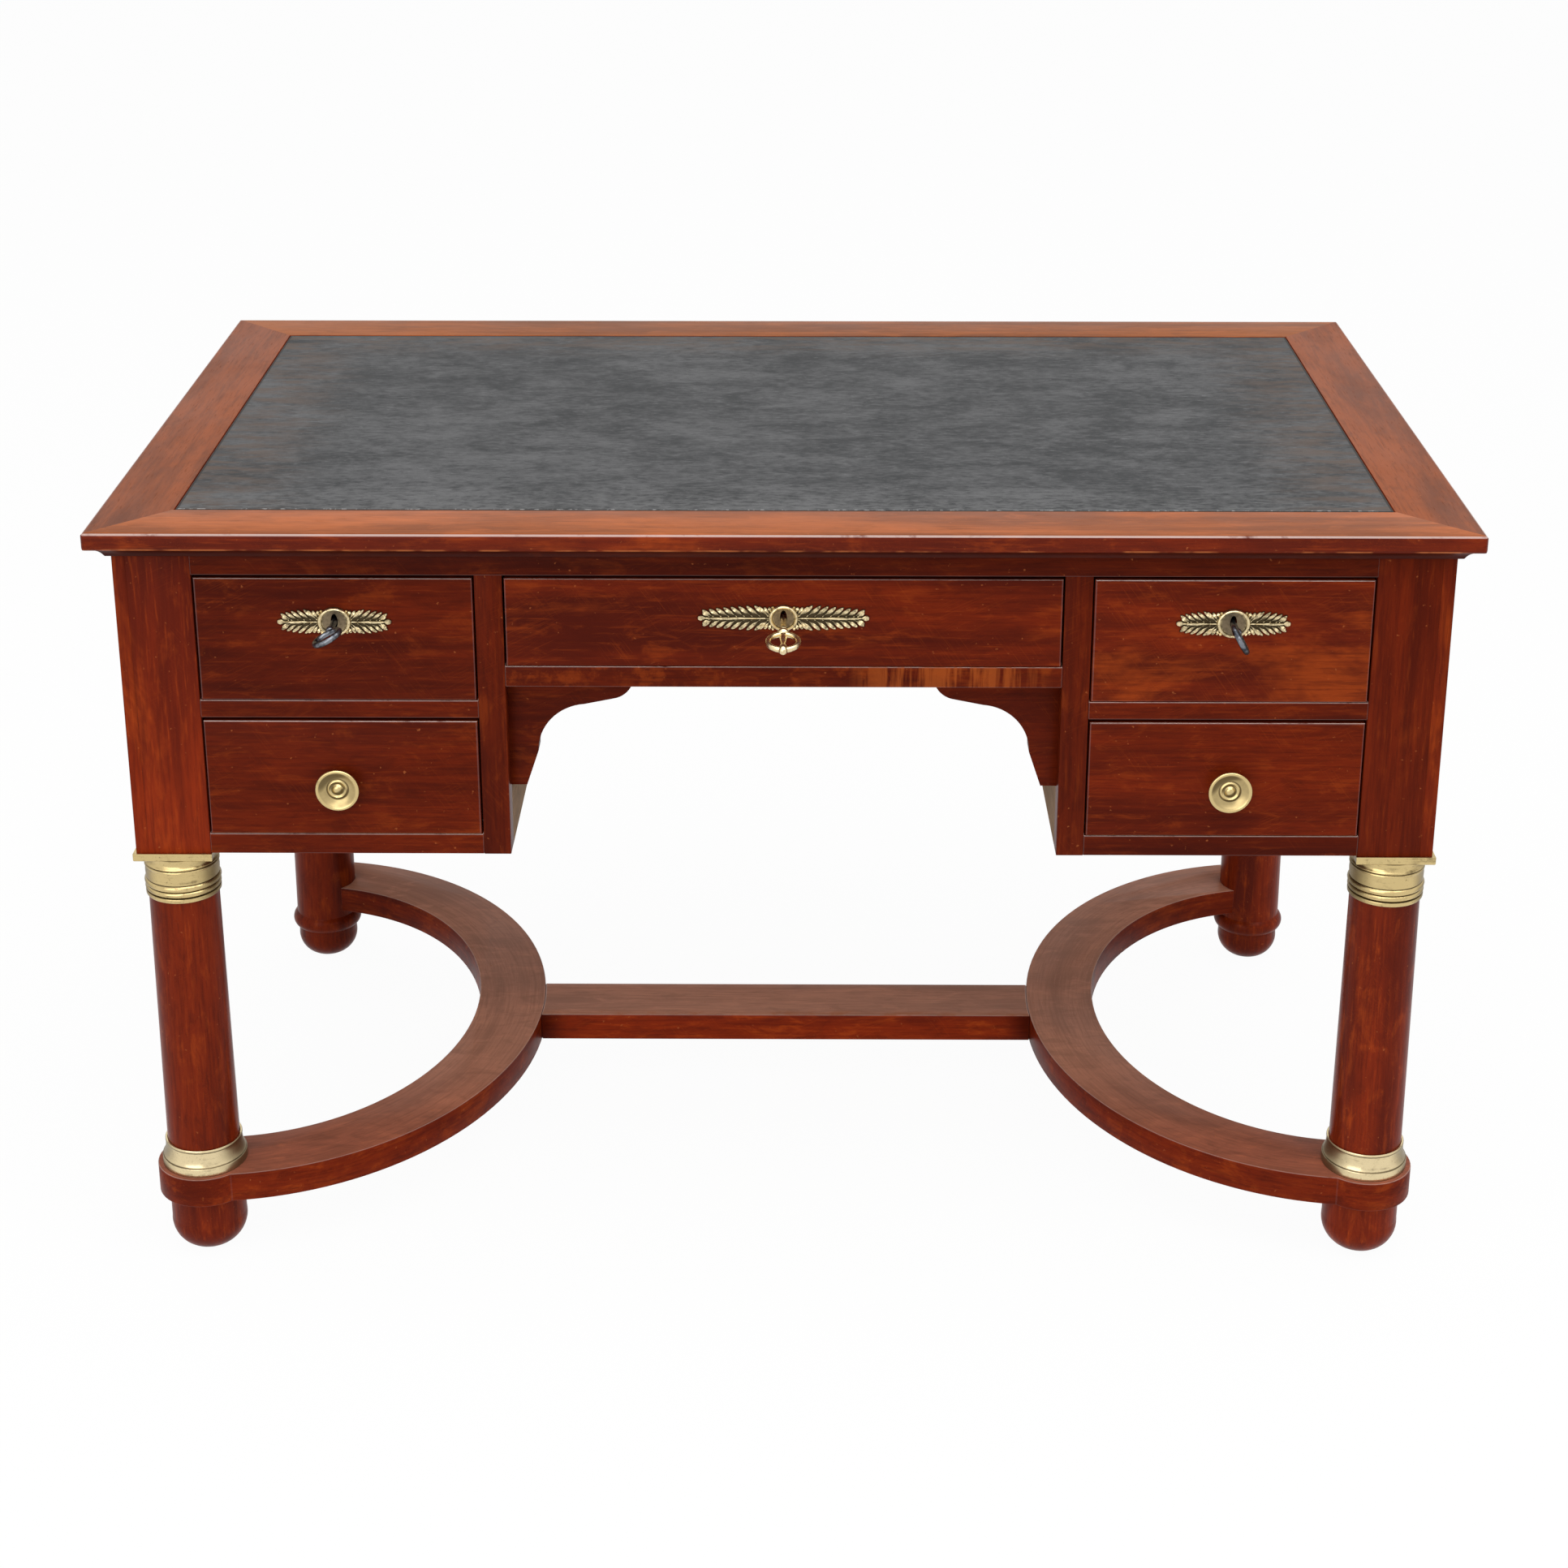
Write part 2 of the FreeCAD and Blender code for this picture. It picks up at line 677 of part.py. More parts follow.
def make_knob(word, side):
    """Dished brass knob whose spigot passes through the drawer front."""
    foot, stem = "knob_foot_radius", "knob_stem_radius"
    face = "knob_foot_height + knob_stem_length"
    rim = "knob_radius - knob_rim"
    hollow = f"{face} + knob_rim - knob_dish"
    step = "knob_button_radius + knob_rim"
    profile = [
        ("0", "-drawer_front_thickness"),
        ("knob_spigot_radius", "-drawer_front_thickness"),
        ("knob_spigot_radius", "0"),
        (foot, "0"),
        (foot, "knob_foot_height"),
        (stem, "knob_foot_height"),
        (stem, f"{face} - knob_dish"),
        (rim, f"{face} - knob_rim"),
        ("knob_radius", face, f"{rim} + knob_rim * sqrt(0.5)", f"{face} - knob_rim * sqrt(0.5)"),
        (rim, f"{face} + knob_rim", f"{rim} + knob_rim * sqrt(0.5)", f"{face} + knob_rim * sqrt(0.5)"),
        (step, hollow, f"({rim} + {step}) / 2", f"{hollow} + knob_dish / 4"),
        ("knob_button_radius", hollow),
        ("knob_button_radius / 2", f"{hollow} + knob_button_height",
         "knob_button_radius * 0.85", f"{hollow} + knob_button_height * 0.7"),
        ("0", f"{hollow} + knob_button_height"),
    ]
    middle = f"{side} * (pedestal_middle + knob_offset)"
    height = "lower_floor + knob_height"
    node(f"knob_{word}", turned(f"knob_{word}", profile, middle, "case_front", height, FORWARD))
    return rod(f"knob_hole_{word}", "knob_spigot_radius + joint_fit", "drawer_front_thickness",
               middle, "front_back", height, FORWARD)


def make_drawers():
    turns = {"left": "left_key_turn", "centre": "0", "right": "right_key_turn"}
    upper = {"left": span(-1, "stile_outer", "post_inner"), "centre": both("half_kneehole"),
             "right": span(1, "stile_outer", "post_inner")}
    for word, middle, height in LOCKS:
        case, slot = lock_cuts(word, middle, height)
        floor = "centre_floor" if word == "centre" else "upper_floor"
        name = "centre_drawer" if word == "centre" else f"upper_{word}_drawer"
        make_drawer(name, upper[word], floor, "opening_top", case, slot)
        make_lock(word, middle, height, case)
        make_escutcheon(word, middle, height, slot)
        make_key(word, middle, height, turns[word], "key_droop" if word == "centre" else "0")
    for word, side in SIDES:
        hole = make_knob(word, side)
        make_drawer(f"lower_{word}_drawer", upper[word], "lower_floor", "lower_ceiling", hole)


# Legs

def dome(flat, radius, height):
    """Profile of a rounded foot from its flat underside up to its full radius."""
    return [
        ("0", "0"),
        (flat, "0"),
        (radius, height, f"{flat} + ({radius} - {flat}) * sqrt(0.5)", f"{height} * (1 - sqrt(0.5))"),
    ]


def capital(word, x):
    bore = "tenon_radius + joint_fit"
    bulge = "capital_radius + ring_bulge"
    profile = [
        (bore, "neck_top"),
        ("capital_radius", "neck_top"),
        ("capital_radius", "band_top", "capital_radius - neck_hollow", "(neck_top + band_top) / 2"),
        ("capital_radius", "ring_top"),
        ("capital_radius", "ring_top - ring_height", bulge, "ring_top - ring_height / 2"),
        ("capital_radius", "capital_lip_top", bulge, "capital_lip_top + ring_height / 2"),
        ("capital_lip_radius", "capital_lip_top"),
        ("capital_lip_radius", "capital_bottom"),
        (bore, "capital_bottom"),
    ]
    half = "abacus_size / 2"
    sleeve = turned(f"sleeve_{word}", profile, x, "column_y", "0")
    plate = board(f"abacus_{word}", (f"{x} - {half}", f"{x} + {half}"),
                  (f"column_y - {half}", f"column_y + {half}"), ("neck_top", "leg_height"))
    hole = rod(f"abacus_hole_{word}", bore, "abacus_thickness", x, "column_y", "neck_top")
    return fuse(f"capital_{word}", sleeve, cut(plate, hole))


def base_ring(word, x):
    bore = "column_foot_radius + joint_fit"
    top = "stretcher_top + base_height"
    neck = f"{bore} + base_flare"
    step = "stretcher_top + base_step"
    profile = [
        (bore, "stretcher_top"),
        ("base_radius", "stretcher_top"),
        ("base_radius", step),
        (neck, top, f"(base_radius + {neck}) / 2 - base_hollow", f"({step} + {top}) / 2 - base_hollow"),
        (bore, top),
    ]
    return turned(f"base_ring_{word}", profile, x, "column_y", "0")


def front_column(word, x):
    profile = [
        ("0", "stretcher_bottom - foot_dowel"),
        ("dowel_radius", "stretcher_bottom - foot_dowel"),
        ("dowel_radius", "stretcher_top"),
        ("column_foot_radius", "stretcher_top"),
        ("column_top_radius", "capital_bottom"),
        ("tenon_radius", "capital_bottom"),
        ("tenon_radius", "leg_height"),
        ("dowel_radius", "leg_height"),
        ("dowel_radius", "leg_height + post_dowel"),
        ("0", "leg_height + post_dowel"),
    ]
    return turned(f"front_column_{word}", profile, x, "column_y", "0")


def front_foot(word, x):
    bore = "dowel_radius + joint_fit"
    seat = "stretcher_bottom - foot_dowel - joint_fit"
    profile = dome("foot_flat", "foot_radius", "dome_height") + [
        ("foot_radius", "stretcher_bottom"),
        (bore, "stretcher_bottom"),
        (bore, seat),
        ("0", seat),
    ]
    return turned(f"front_foot_{word}", profile, x, "column_y", "0")


def rear_column(word, x):
    ring_end = "rear_ring_bottom + rear_ring_height"
    profile = dome("foot_flat", "rear_foot_radius", "rear_dome_height") + [
        ("rear_foot_radius", "rear_ring_bottom"),
        ("column_foot_radius", ring_end, "rear_ring_radius", "rear_ring_bottom + rear_ring_height / 2"),
        ("column_top_radius", "leg_height"),
        ("dowel_radius", "leg_height"),
        ("dowel_radius", "leg_height + post_dowel"),
        ("0", "leg_height + post_dowel"),
    ]
    return turned(f"rear_column_{word}", profile, x, "rear_y", "0")


def oval(name, x, grow):
    """Upright oval block about a side's column line, its long axis running front to back."""
    ring = doc.addObject("Part::Ellipse", f"{name}_ellipse")
    bind(ring, MajorRadius=f"oval_depth + {grow}", MinorRadius=f"oval_reach + {grow}")
    place(ring, x, "oval_middle", "stretcher_bottom", Rotation(Vector(0, 0, 1), 90))
    block = doc.addObject("Part::Extrusion", f"{name}_block")
    block.Base = ring
    block.DirMode = "Custom"
    block.Dir = Vector(0, 0, 1)
    block.Solid = True
    return bind(block, LengthFwd="stretcher_thickness")


def make_stretcher(word, side, x, rear):
    """Half oval between the front and rear columns, with a round lobe under the front one."""
    height = ("stretcher_bottom", "stretcher_top")
    outer = oval(f"oval_outer_{word}", x, "stretcher_width / 2")
    inner = oval(f"oval_inner_{word}", x, "-stretcher_width / 2")
    half = board(f"oval_half_{word}", span(side, "0", "rear_x - stretcher_end"),
                 ("column_y - 2 * lobe_radius", "case_back + lobe_radius"), height)
    lobe = rod(f"lobe_{word}", "lobe_radius", "stretcher_thickness", x, "column_y", "stretcher_bottom")
    hole = rod(f"lobe_hole_{word}", "dowel_radius + joint_fit", "stretcher_thickness", x, "column_y",
               "stretcher_bottom")
    band = fuse(f"stretcher_{word}", keep(cut(outer, inner), half), lobe)
    node(f"stretcher_{word}", cut(band, hole, rear))
    return outer


def make_legs():
    feet, rings = [], []
    bar = board("stretcher_bar", both("column_x - oval_reach"),
                ("bar_middle - bar_width / 2", "bar_middle + bar_width / 2"),
                ("stretcher_bottom", "stretcher_top"))
    for word, side in SIDES:
        x = f"{side} * column_x"
        node(f"front_column_{word}", front_column(word, x))
        rear = node(f"rear_column_{word}", rear_column(word, f"{side} * rear_x"))
        node(f"capital_{word}", capital(word, x))
        feet.append(front_foot(word, x))
        rings.append(base_ring(word, x))
        bar = cut(bar, make_stretcher(word, side, x, rear))
    node("front_feet", *feet)
    node("base_rings", *rings)
    node("stretcher_bar", bar)


def check_and_export():
    doc.recompute()
    for item in doc.Objects:
        if {"Invalid", "Error"} & set(item.State):
            raise RuntimeError(f"{item.Label} did not build")
    for item in nodes:
        if item.Shape.isNull() or not item.Shape.isValid():
            raise RuntimeError(f"{item.Label} is not a valid shape")
    os.makedirs("parts", exist_ok=True)
    for item in nodes:
        item.Shape.exportStep(f"parts/{item.Label}.step")


fill_sheet()
make_top()
make_posts()
make_panels()
make_rails()
make_runners()
node("corbels", *(corbel(word, side) for word, side in SIDES))
make_drawers()
make_legs()
check_and_export()
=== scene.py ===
"""Flat desk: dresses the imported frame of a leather-topped column desk and sets the studio round it."""

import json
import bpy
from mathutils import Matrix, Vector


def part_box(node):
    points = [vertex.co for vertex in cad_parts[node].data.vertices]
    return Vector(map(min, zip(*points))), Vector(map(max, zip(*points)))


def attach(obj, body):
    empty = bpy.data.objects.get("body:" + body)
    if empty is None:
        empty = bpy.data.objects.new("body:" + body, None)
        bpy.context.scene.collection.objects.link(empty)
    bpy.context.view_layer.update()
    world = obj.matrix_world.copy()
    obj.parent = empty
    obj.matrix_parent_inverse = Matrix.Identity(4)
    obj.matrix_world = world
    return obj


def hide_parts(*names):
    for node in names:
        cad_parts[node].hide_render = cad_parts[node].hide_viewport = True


bl_info = {
    "name": "Flat Desk Dresser",
    "version": (1, 0, 0),
    "blender": (4, 5, 0),
    "location": "View3D > Sidebar > Desk",
    "description": "Finishes the boards, columns, leather and metalwork of a flat desk",
    "category": "Object",
}

from functools import partial, partialmethod, reduce
from math import cos, pi, radians

import bmesh
import bpy
from bpy.props import FloatProperty, FloatVectorProperty, PointerProperty
from mathutils import Matrix, Vector

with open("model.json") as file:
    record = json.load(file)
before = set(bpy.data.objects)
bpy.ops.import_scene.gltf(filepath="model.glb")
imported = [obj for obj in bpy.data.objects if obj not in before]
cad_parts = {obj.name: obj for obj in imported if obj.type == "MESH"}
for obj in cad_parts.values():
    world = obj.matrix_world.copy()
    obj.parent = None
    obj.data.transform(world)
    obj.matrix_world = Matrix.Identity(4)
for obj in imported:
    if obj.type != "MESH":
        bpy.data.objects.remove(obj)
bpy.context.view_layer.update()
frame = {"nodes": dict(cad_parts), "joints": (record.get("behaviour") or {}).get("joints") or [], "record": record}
BODY_OF = {node: body for body, nodes in frame["record"]["behaviour"]["bodies"].items() for node in nodes}
MM = 0.001
MERGING = 0.01 * MM
SIDES = ("left", "right")
LOCKS = (*SIDES, "centre")
FACING = Matrix.Rotation(radians(90), 4, "X")
WHITE = (1, 1, 1, 1)


# Settings

def tint(description, default):
    return FloatVectorProperty(description=description, default=default, subtype="COLOR", size=3,
                               min=0, max=1)


def number(description, default, **kind):
    return FloatProperty(description=description, default=default, **kind)


def length(description, default):
    return number(description, default, unit="LENGTH", min=0)


def point(description, default):
    return FloatVectorProperty(description=description, default=default, unit="LENGTH")


def titled(group):
    """Name each setting of a group after the word it is kept under."""
    for word, setting in group.__annotations__.items():
        setting.keywords["name"] = word.replace("_", " ").capitalize()
    return group


@titled
class DeskFinishes(bpy.types.PropertyGroup):
    """Colours of the desk's woods, leather and metals."""
    mahogany_dark: tint("Dark streaks of the case", (0.05, 0.0052, 0.002))
    mahogany_red: tint("Body colour of the case", (0.128, 0.013, 0.0026))
    mahogany_warm: tint("Worn, sunnier patches of the case", (0.26, 0.04, 0.005))
    # Dust on the stretchers' tops with a painted sheen, made paler as painted light against the shade under the
    # desk.
    dusty: tint("Dull polish on top of the stretchers", (0.52, 0.23, 0.145))
    faded_front: tint("Sun-faded top of the front border", (0.375, 0.098, 0.023))
    faded_back: tint("Sun-faded top of the back border", (0.305, 0.086, 0.019))
    faded_side: tint("Sun-faded top of the side borders", (0.232, 0.054, 0.011))
    raw_wood: tint("Unpolished boards inside", (0.3, 0.19, 0.11))
    wear: tint("Bare wood on rubbed places", (0.42, 0.12, 0.035))
    # Painted highlight: a pale colour on the upper arrises stands in for their sheen.
    rubbed: tint("Pale polish on the upper arrises", (0.6, 0.45, 0.4))
    rubbed_apron: tint("Bright wood rubbed through on the apron", (0.3, 0.062, 0.011))
    leather: tint("Dark leather of the lining", (0.014, 0.015, 0.016))
    leather_pale: tint("Rubbed strokes in the leather", (0.084, 0.084, 0.086))
    leather_brown: tint("Browner leather at the edges", (0.082, 0.052, 0.036))
    leather_glint: tint("Bright dashes in the leather", (0.17, 0.17, 0.175))
    leather_worn: tint("Leather worn along the front", (0.13, 0.13, 0.13))
    leather_dots: tint("Pale dots along the front edge", (0.42, 0.42, 0.41))
    # Painted shade: a dark rim in the gap where the leather meets the border.
    leather_rim: tint("Dark rim against the border", (0.008, 0.007, 0.006))
    brass: tint("Polished brass", (0.64, 0.49, 0.23))
    # Also used for painted dark reflections on the capitals and base rings, and painted shade on the knobs.
    brass_dark: tint("Tarnish in the hollows", (0.07, 0.045, 0.02))
    brass_pale: tint("Paler brass of base rings, leaves and middle key", (0.77, 0.63, 0.375))
    dish: tint("Dull brass inside the escutcheons' rings", (0.24, 0.17, 0.105))
    dish_dark: tint("Tarnish inside the escutcheons' rings", (0.06, 0.045, 0.03))
    steel: tint("Grey steel of side keys and locks", (0.2, 0.212, 0.235))
    steel_dark: tint("Dark clouds in the steel", (0.016, 0.018, 0.024))


@titled
class DeskSizes(bpy.types.PropertyGroup):
    """Sizes of what the dressing adds."""
    arris: length("Rounding of the boards' edges", 1.2 * MM)
    fine_arris: length("Rounding of the rails' edges", 0.9 * MM)
    joint: length("Rounding where uprights meet their neighbours", 0.3 * MM)
    nose: length("Height of the border's nose over its cove", 17 * MM)
    curve_across: length("Half width of the stretchers' curve", 270 * MM)
    curve_along: length("Half depth of the stretchers' curve", 322 * MM)


@titled
class DeskStage(bpy.types.PropertyGroup):
    """Camera and studio light."""
    camera_place: point("Where the camera stands", (0.0159, -2.7356, 1.569))
    camera_pitch: number("Turn up from straight down", radians(69.985), subtype="ANGLE")
    camera_yaw: number("Turn of the camera about the upright", 0.00643, subtype="ANGLE")
    lens: number("Focal length", 64.94, subtype="DISTANCE_CAMERA")
    sensor: number("Width of the sensor", 36, subtype="DISTANCE_CAMERA")
    shift: number("Upright shift of the lens", -0.12)
    dome: number("Strength of the light from all round", 0.55)
    key_watts: number("Power of the large lamp overhead", 95, unit="POWER")
    key_place: point("Where the lamp overhead hangs", (0.4, -0.9, 3.2))
    key_width: length("Side of the lamp overhead", 3.6)
    fill_watts: number("Power of the lamp in front", 30, unit="POWER")
    fill_place: point("Where the lamp in front stands", (-1.6, -3.2, 1.7))
    fill_width: length("Side of the lamp in front", 2.6)
    lamp_aim: point("Where both lamps point", (0, 0, 0.5))
    floor_width: length("Side of the pale floor", 40)


def finishes():
    return bpy.context.scene.desk_finishes


def sizes():
    return bpy.context.scene.desk_sizes


# Materials as expressions

class Signal:
    """One socket of a tree of nodes, for use in plain expressions."""

    def __init__(self, nodes, socket):
        self.nodes = nodes
        self.socket = socket

    def combined(self, operation, *others):
        return self.nodes.maths(operation, self, *others)

    __add__ = __radd__ = partialmethod(combined, "ADD")
    __sub__ = partialmethod(combined, "SUBTRACT")
    __mul__ = __rmul__ = partialmethod(combined, "MULTIPLY")
    __truediv__ = partialmethod(combined, "DIVIDE")
    __pow__ = partialmethod(combined, "POWER")
    __abs__ = partialmethod(combined, "ABSOLUTE")

    def __rsub__(self, other):
        return self.nodes.maths("SUBTRACT", other, self)

    def step(self, low, high):
        """0 below low, 1 above high, smooth between; the other way round if low is above high."""
        return self.nodes.node("ShaderNodeMapRange", {"interpolation_type": "SMOOTHSTEP"}, {
            "Value": self, "From Min": min(low, high), "From Max": max(low, high),
            "To Min": 0 if low < high else 1, "To Max": 1 if low < high else 0})

    def noise(self, scale, detail, roughness, distortion=0):
        return self.nodes.node("ShaderNodeTexNoise", inputs={
            "Vector": self, "Scale": scale, "Detail": detail, "Roughness": roughness,
            "Distortion": distortion})


class Nodes:
    """A tree of nodes that is written as expressions."""

    def __init__(self, tree):
        self.tree = tree

    def node(self, kind, settings=None, inputs=None, output=0):
        """Add a node: its settings first, then the values or links of its sockets."""
        made = self.tree.nodes.new(kind)
        for name, setting in (settings or {}).items():
            setattr(made, name, setting)
        for key, value in (inputs or {}).items():
            self.feed(made.inputs[key], value)
        return Signal(self, made.outputs[output])

    def feed(self, socket, value):
        """Link a signal to a socket, or set a plain value on it."""
        if isinstance(value, Signal):
            self.tree.links.new(value.socket, socket)
        else:
            socket.default_value = value

    def maths(self, operation, *values):
        return self.node("ShaderNodeMath", {"operation": operation}, dict(enumerate(values)))

    def maximum(self, first, second):
        return self.maths("MAXIMUM", first, second)

    def rays(self, *kinds):
        """1 for the rays of some kinds, 0 for the rest."""
        path = self.node("ShaderNodeLightPath").socket.node
        return reduce(self.maximum, [Signal(self, path.outputs[f"Is {kind} Ray"]) for kind in kinds])


class Finish(Nodes):
    """A material with one shader, whose inputs are worked out from the place on the object."""

    def __init__(self, name):
        self.material = bpy.data.materials.new(name)
        self.material.use_nodes = True
        super().__init__(self.material.node_tree)
        self.shader = self.tree.nodes["Principled BSDF"]
        self.place = self.node("ShaderNodeTexCoord", output="Object")

    def scaled(self, factors, offset=(0, 0, 0), vector=None):
        """The place on the object, or another vector, drawn out and moved."""
        return self.node("ShaderNodeVectorMath", {"operation": "MULTIPLY_ADD"},
                         {0: vector or self.place, 1: factors, 2: offset})

    def axes(self, vector=None):
        """The three parts of the place on the object, or of another vector."""
        made = self.node("ShaderNodeSeparateXYZ", inputs={0: vector or self.place})
        return [Signal(self, socket) for socket in made.socket.node.outputs]

    def normal(self):
        """The three parts of the surface's direction on the object."""
        return self.axes(self.node("ShaderNodeTexCoord", output="Normal"))

    def rise(self):
        """How far the surface faces up, from -1 to 1."""
        return self.normal()[2]

    def mix(self, factor, first, second):
        colours = {key: value if isinstance(value, Signal) else (*value, 1)
                   for key, value in ((6, first), (7, second))}
        return self.node("ShaderNodeMix", {"data_type": "RGBA"}, {0: factor, **colours}, output=2)

    def painted(self, colour, coats):
        """A colour under several coats, each a mask and a colour."""
        for mask, coat in coats:
            colour = self.mix(mask, colour, coat)
        return colour

    def bump(self, height, strength, distance):
        return self.node("ShaderNodeBump", inputs={
            "Strength": strength, "Distance": distance, "Height": height})

    def set(self, **inputs):
        """Feed the shader; a plain colour gets its fourth part."""
        for key, value in inputs.items():
            socket = self.shader.inputs[key.replace("_", " ").title().replace("Ior", "IOR")]
            plain_colour = socket.type == "RGBA" and not isinstance(value, Signal)
            self.feed(socket, (*value, 1) if plain_colour else value)
        return self.material

    def metal(self, colour, roughness, relief, strength, depth=0.6 * MM):
        """Feed the shader as a metal with a fine relief."""
        return self.set(base_color=colour, roughness=roughness, metallic=1,
                        normal=self.bump(relief, strength, depth))


def shaded(colour, share):
    """A colour made darker or lighter by a share."""
    return tuple(share * value for value in colour)


def middle(node):
    """The middle of a CAD node's box."""
    return Vector([(low + high) / 2 for low, high in zip(*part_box(node))])


def grain_space(finish, along, seed, run=0.06):
    """The place on the object, drawn out along the grain."""
    factors = [1, 1, 1]
    factors["xyz".index(along)] = run
    return finish.scaled(factors, (seed, seed * 0.37, seed * 0.61))


def curved_space(finish, side, seed):
    """Grain that follows a curved stretcher: round, across and up."""
    x, y, z = finish.axes()
    across = (x - middle(f"front_column_{side}").x) / sizes().curve_across
    along = (y - middle(f"stretcher_{side}").y) / sizes().curve_along
    turn = finish.maths("ARCTAN2", along, across * (-1 if side == "right" else 1))
    reach = (across * across + along * along) ** 0.5
    return finish.node("ShaderNodeCombineXYZ", inputs={0: turn * 0.02 + seed, 1: reach * 0.3, 2: z})


def scratches(finish, axis, angle, seed):
    """Hairlines in one direction across a face, thick on the ground in places."""
    turned = finish.node("ShaderNodeVectorRotate", {"rotation_type": f"{axis.upper()}_AXIS"},
                         {"Vector": finish.place, "Angle": angle})
    hairs = finish.scaled((34, 1500, 1500), (seed, 0, 0), turned).noise(1, 1, 0.4)
    places = finish.scaled((1, 1, 1), (seed, seed, 0)).noise(22, 2, 0.5)
    return hairs.step(0.6, 0.7) * places.step(0.42, 0.66)


def highlight_and_wear_coats(finish, rubbing):
    """A painted highlight, a pale colour where an arris faces up, and bare wood where it faces down."""
    rubbed = finish.place.noise(45, 4, 0.7).step(0.26, 0.5)
    rise = finish.rise()
    return [(rise.step(0.25, 0.6) * rubbed * (0.85 * rubbing), finishes().rubbed),
            (rise.step(-0.25, -0.6) * rubbed * (0.6 * rubbing), finishes().wear)]


def wood(name, along, seed, tones, warm_share=0.5, gloss=0.34, mottle=0, space=None, face="y",
         rubbing=0, shine=0.04, hairs=0.15, unrest=1, marks=None):
    """Polished wood: figure, fine lines, clouds, blotches and hairlines; tones are dark, body and warm.

    marks(finish) gives pairs of a mask and a colour that are painted last.
    """
    finish = Finish(name)
    dark, body, warm = tones(finish) if callable(tones) else tones
    grain = space(finish) if space else grain_space(finish, along, seed)
    moved = grain_space(finish, along, seed, 0.4)
    figure = grain.noise(30, 5, 0.62, 0.6)
    lines = grain.noise(330, 3, 0.6)
    pores = grain.noise(900, 2, 0.5).step(0.6, 0.72)
    clouds = moved.noise(6, 4, 0.6)
    patches = moved.noise(13, 5, 0.65, 0.4)
    blotches = moved.noise(58, 4, 0.66, 0.5)
    strokes = scratches(finish, face, 0.45, seed) + scratches(finish, face, -0.95, seed + 3)
    specks = finish.place.noise(210, 2, 0.5).step(0.7, 0.78)
    warmest = 0.9 - 0.26 * warm_share
    coats = [(patches.step(warmest - 0.2, warmest) * 0.6, warm),
             (blotches.step(0.52, 0.7) * (0.32 * unrest), warm),
             (blotches.step(0.48, 0.32) * (0.38 * unrest), dark)]
    if mottle:
        flecks = finish.scaled((52, 30, 46), (seed, 0, 0)).noise(1, 4, 0.65)
        coats.append((flecks.step(0.5, 0.66) * mottle, warm))
    coats += [(lines.step(0.46, 0.68) * 0.44, dark),
              (lines.step(0.44, 0.28) * 0.24, warm),
              (pores * 0.45, dark), (strokes * hairs, warm), (specks * 0.42, finishes().wear)]
    # Painted highlights on upward arrises, and bare wood on downward ones.
    if rubbing:
        coats += highlight_and_wear_coats(finish, rubbing)
    if marks:
        coats += marks(finish)
    base = finish.mix((figure * 0.5 + clouds * 0.5).step(0.36, 0.6), dark, body)
    roughness = gloss + patches.step(0.3, 0.8) * 0.1 + pores * 0.1
    height = lines * 0.4 + figure * 0.5 - pores * 0.5
    return finish.set(base_color=finish.painted(base, coats), roughness=roughness,
                      specular_ior_level=shine, normal=finish.bump(height, 0.1, 0.5 * MM))


# Stage

class DESK_OT_stage(bpy.types.Operator):
    """Set the camera, the pale floor and the soft studio light"""
    bl_idname = "desk.stage"
    bl_label = "Studio"

    def execute(self, context):
        settings = context.scene.desk_stage
        self.add_camera(context, settings)
        self.add_floor(settings)
        self.add_world(context, settings)
        for word in ("key", "fill"):
            self.add_lamp(word, settings)
        context.scene.view_settings.view_transform = "Standard"
        return {"FINISHED"}

    def add_camera(self, context, settings):
        bpy.ops.object.camera_add(location=settings.camera_place)
        camera = context.active_object
        camera.name = "photo_camera"
        turn = Matrix.Rotation(settings.camera_yaw, 3, "Z") @ Matrix.Rotation(settings.camera_pitch, 3, "X")
        camera.rotation_euler = turn.to_euler()
        camera.data.lens = settings.lens
        camera.data.sensor_width = settings.sensor
        camera.data.shift_y = settings.shift
        context.scene.camera = camera

    def add_floor(self, settings):
        bpy.ops.mesh.primitive_plane_add(size=settings.floor_width)
        floor = bpy.context.active_object
        floor.name = "studio_floor"
        finish = Finish("pale_floor")
        seen = finish.rays("Camera", "Glossy", "Transmission")
        glow = finish.node("ShaderNodeEmission", inputs={"Color": WHITE, "Strength": 1})
        finish.set(base_color=(0.86, 0.86, 0.86), roughness=0.9)
        lit = Signal(finish, finish.shader.outputs[0])
        mixed = finish.node("ShaderNodeMixShader", inputs={0: seen * 0.96, 1: lit, 2: glow})
        finish.feed(finish.tree.nodes["Material Output"].inputs[0], mixed)
        floor.data.materials.append(finish.material)

    def add_world(self, context, settings):
        world = bpy.data.worlds.new("white_studio")
        world.use_nodes = True
        context.scene.world = world
        air = Nodes(world.node_tree)
        strength = air.node("ShaderNodeMapRange", inputs={
            "Value": air.rays("Camera", "Glossy"), "To Min": settings.dome, "To Max": 1})
        background = air.tree.nodes["Background"]
        air.feed(background.inputs["Color"], WHITE)
        air.feed(background.inputs["Strength"], strength)

    def add_lamp(self, word, settings):
        place = Vector(getattr(settings, f"{word}_place"))
        bpy.ops.object.light_add(type="AREA", location=place)
        lamp = bpy.context.active_object
        lamp.name = f"{word}_lamp"
        lamp.data.shape = "SQUARE"
        lamp.data.size = getattr(settings, f"{word}_width")
        lamp.data.energy = getattr(settings, f"{word}_watts")
        aim = Vector(settings.lamp_aim) - place
        lamp.rotation_euler = aim.to_track_quat("-Z", "Y").to_euler()


# Boards

def paint(node, material):
    """Give a CAD node one finish all over."""
    mesh = frame["nodes"][node].data
    mesh.materials.clear()
    mesh.materials.append(material)


def edit(start=True):
    bpy.ops.object.mode_set(mode="EDIT" if start else "OBJECT")


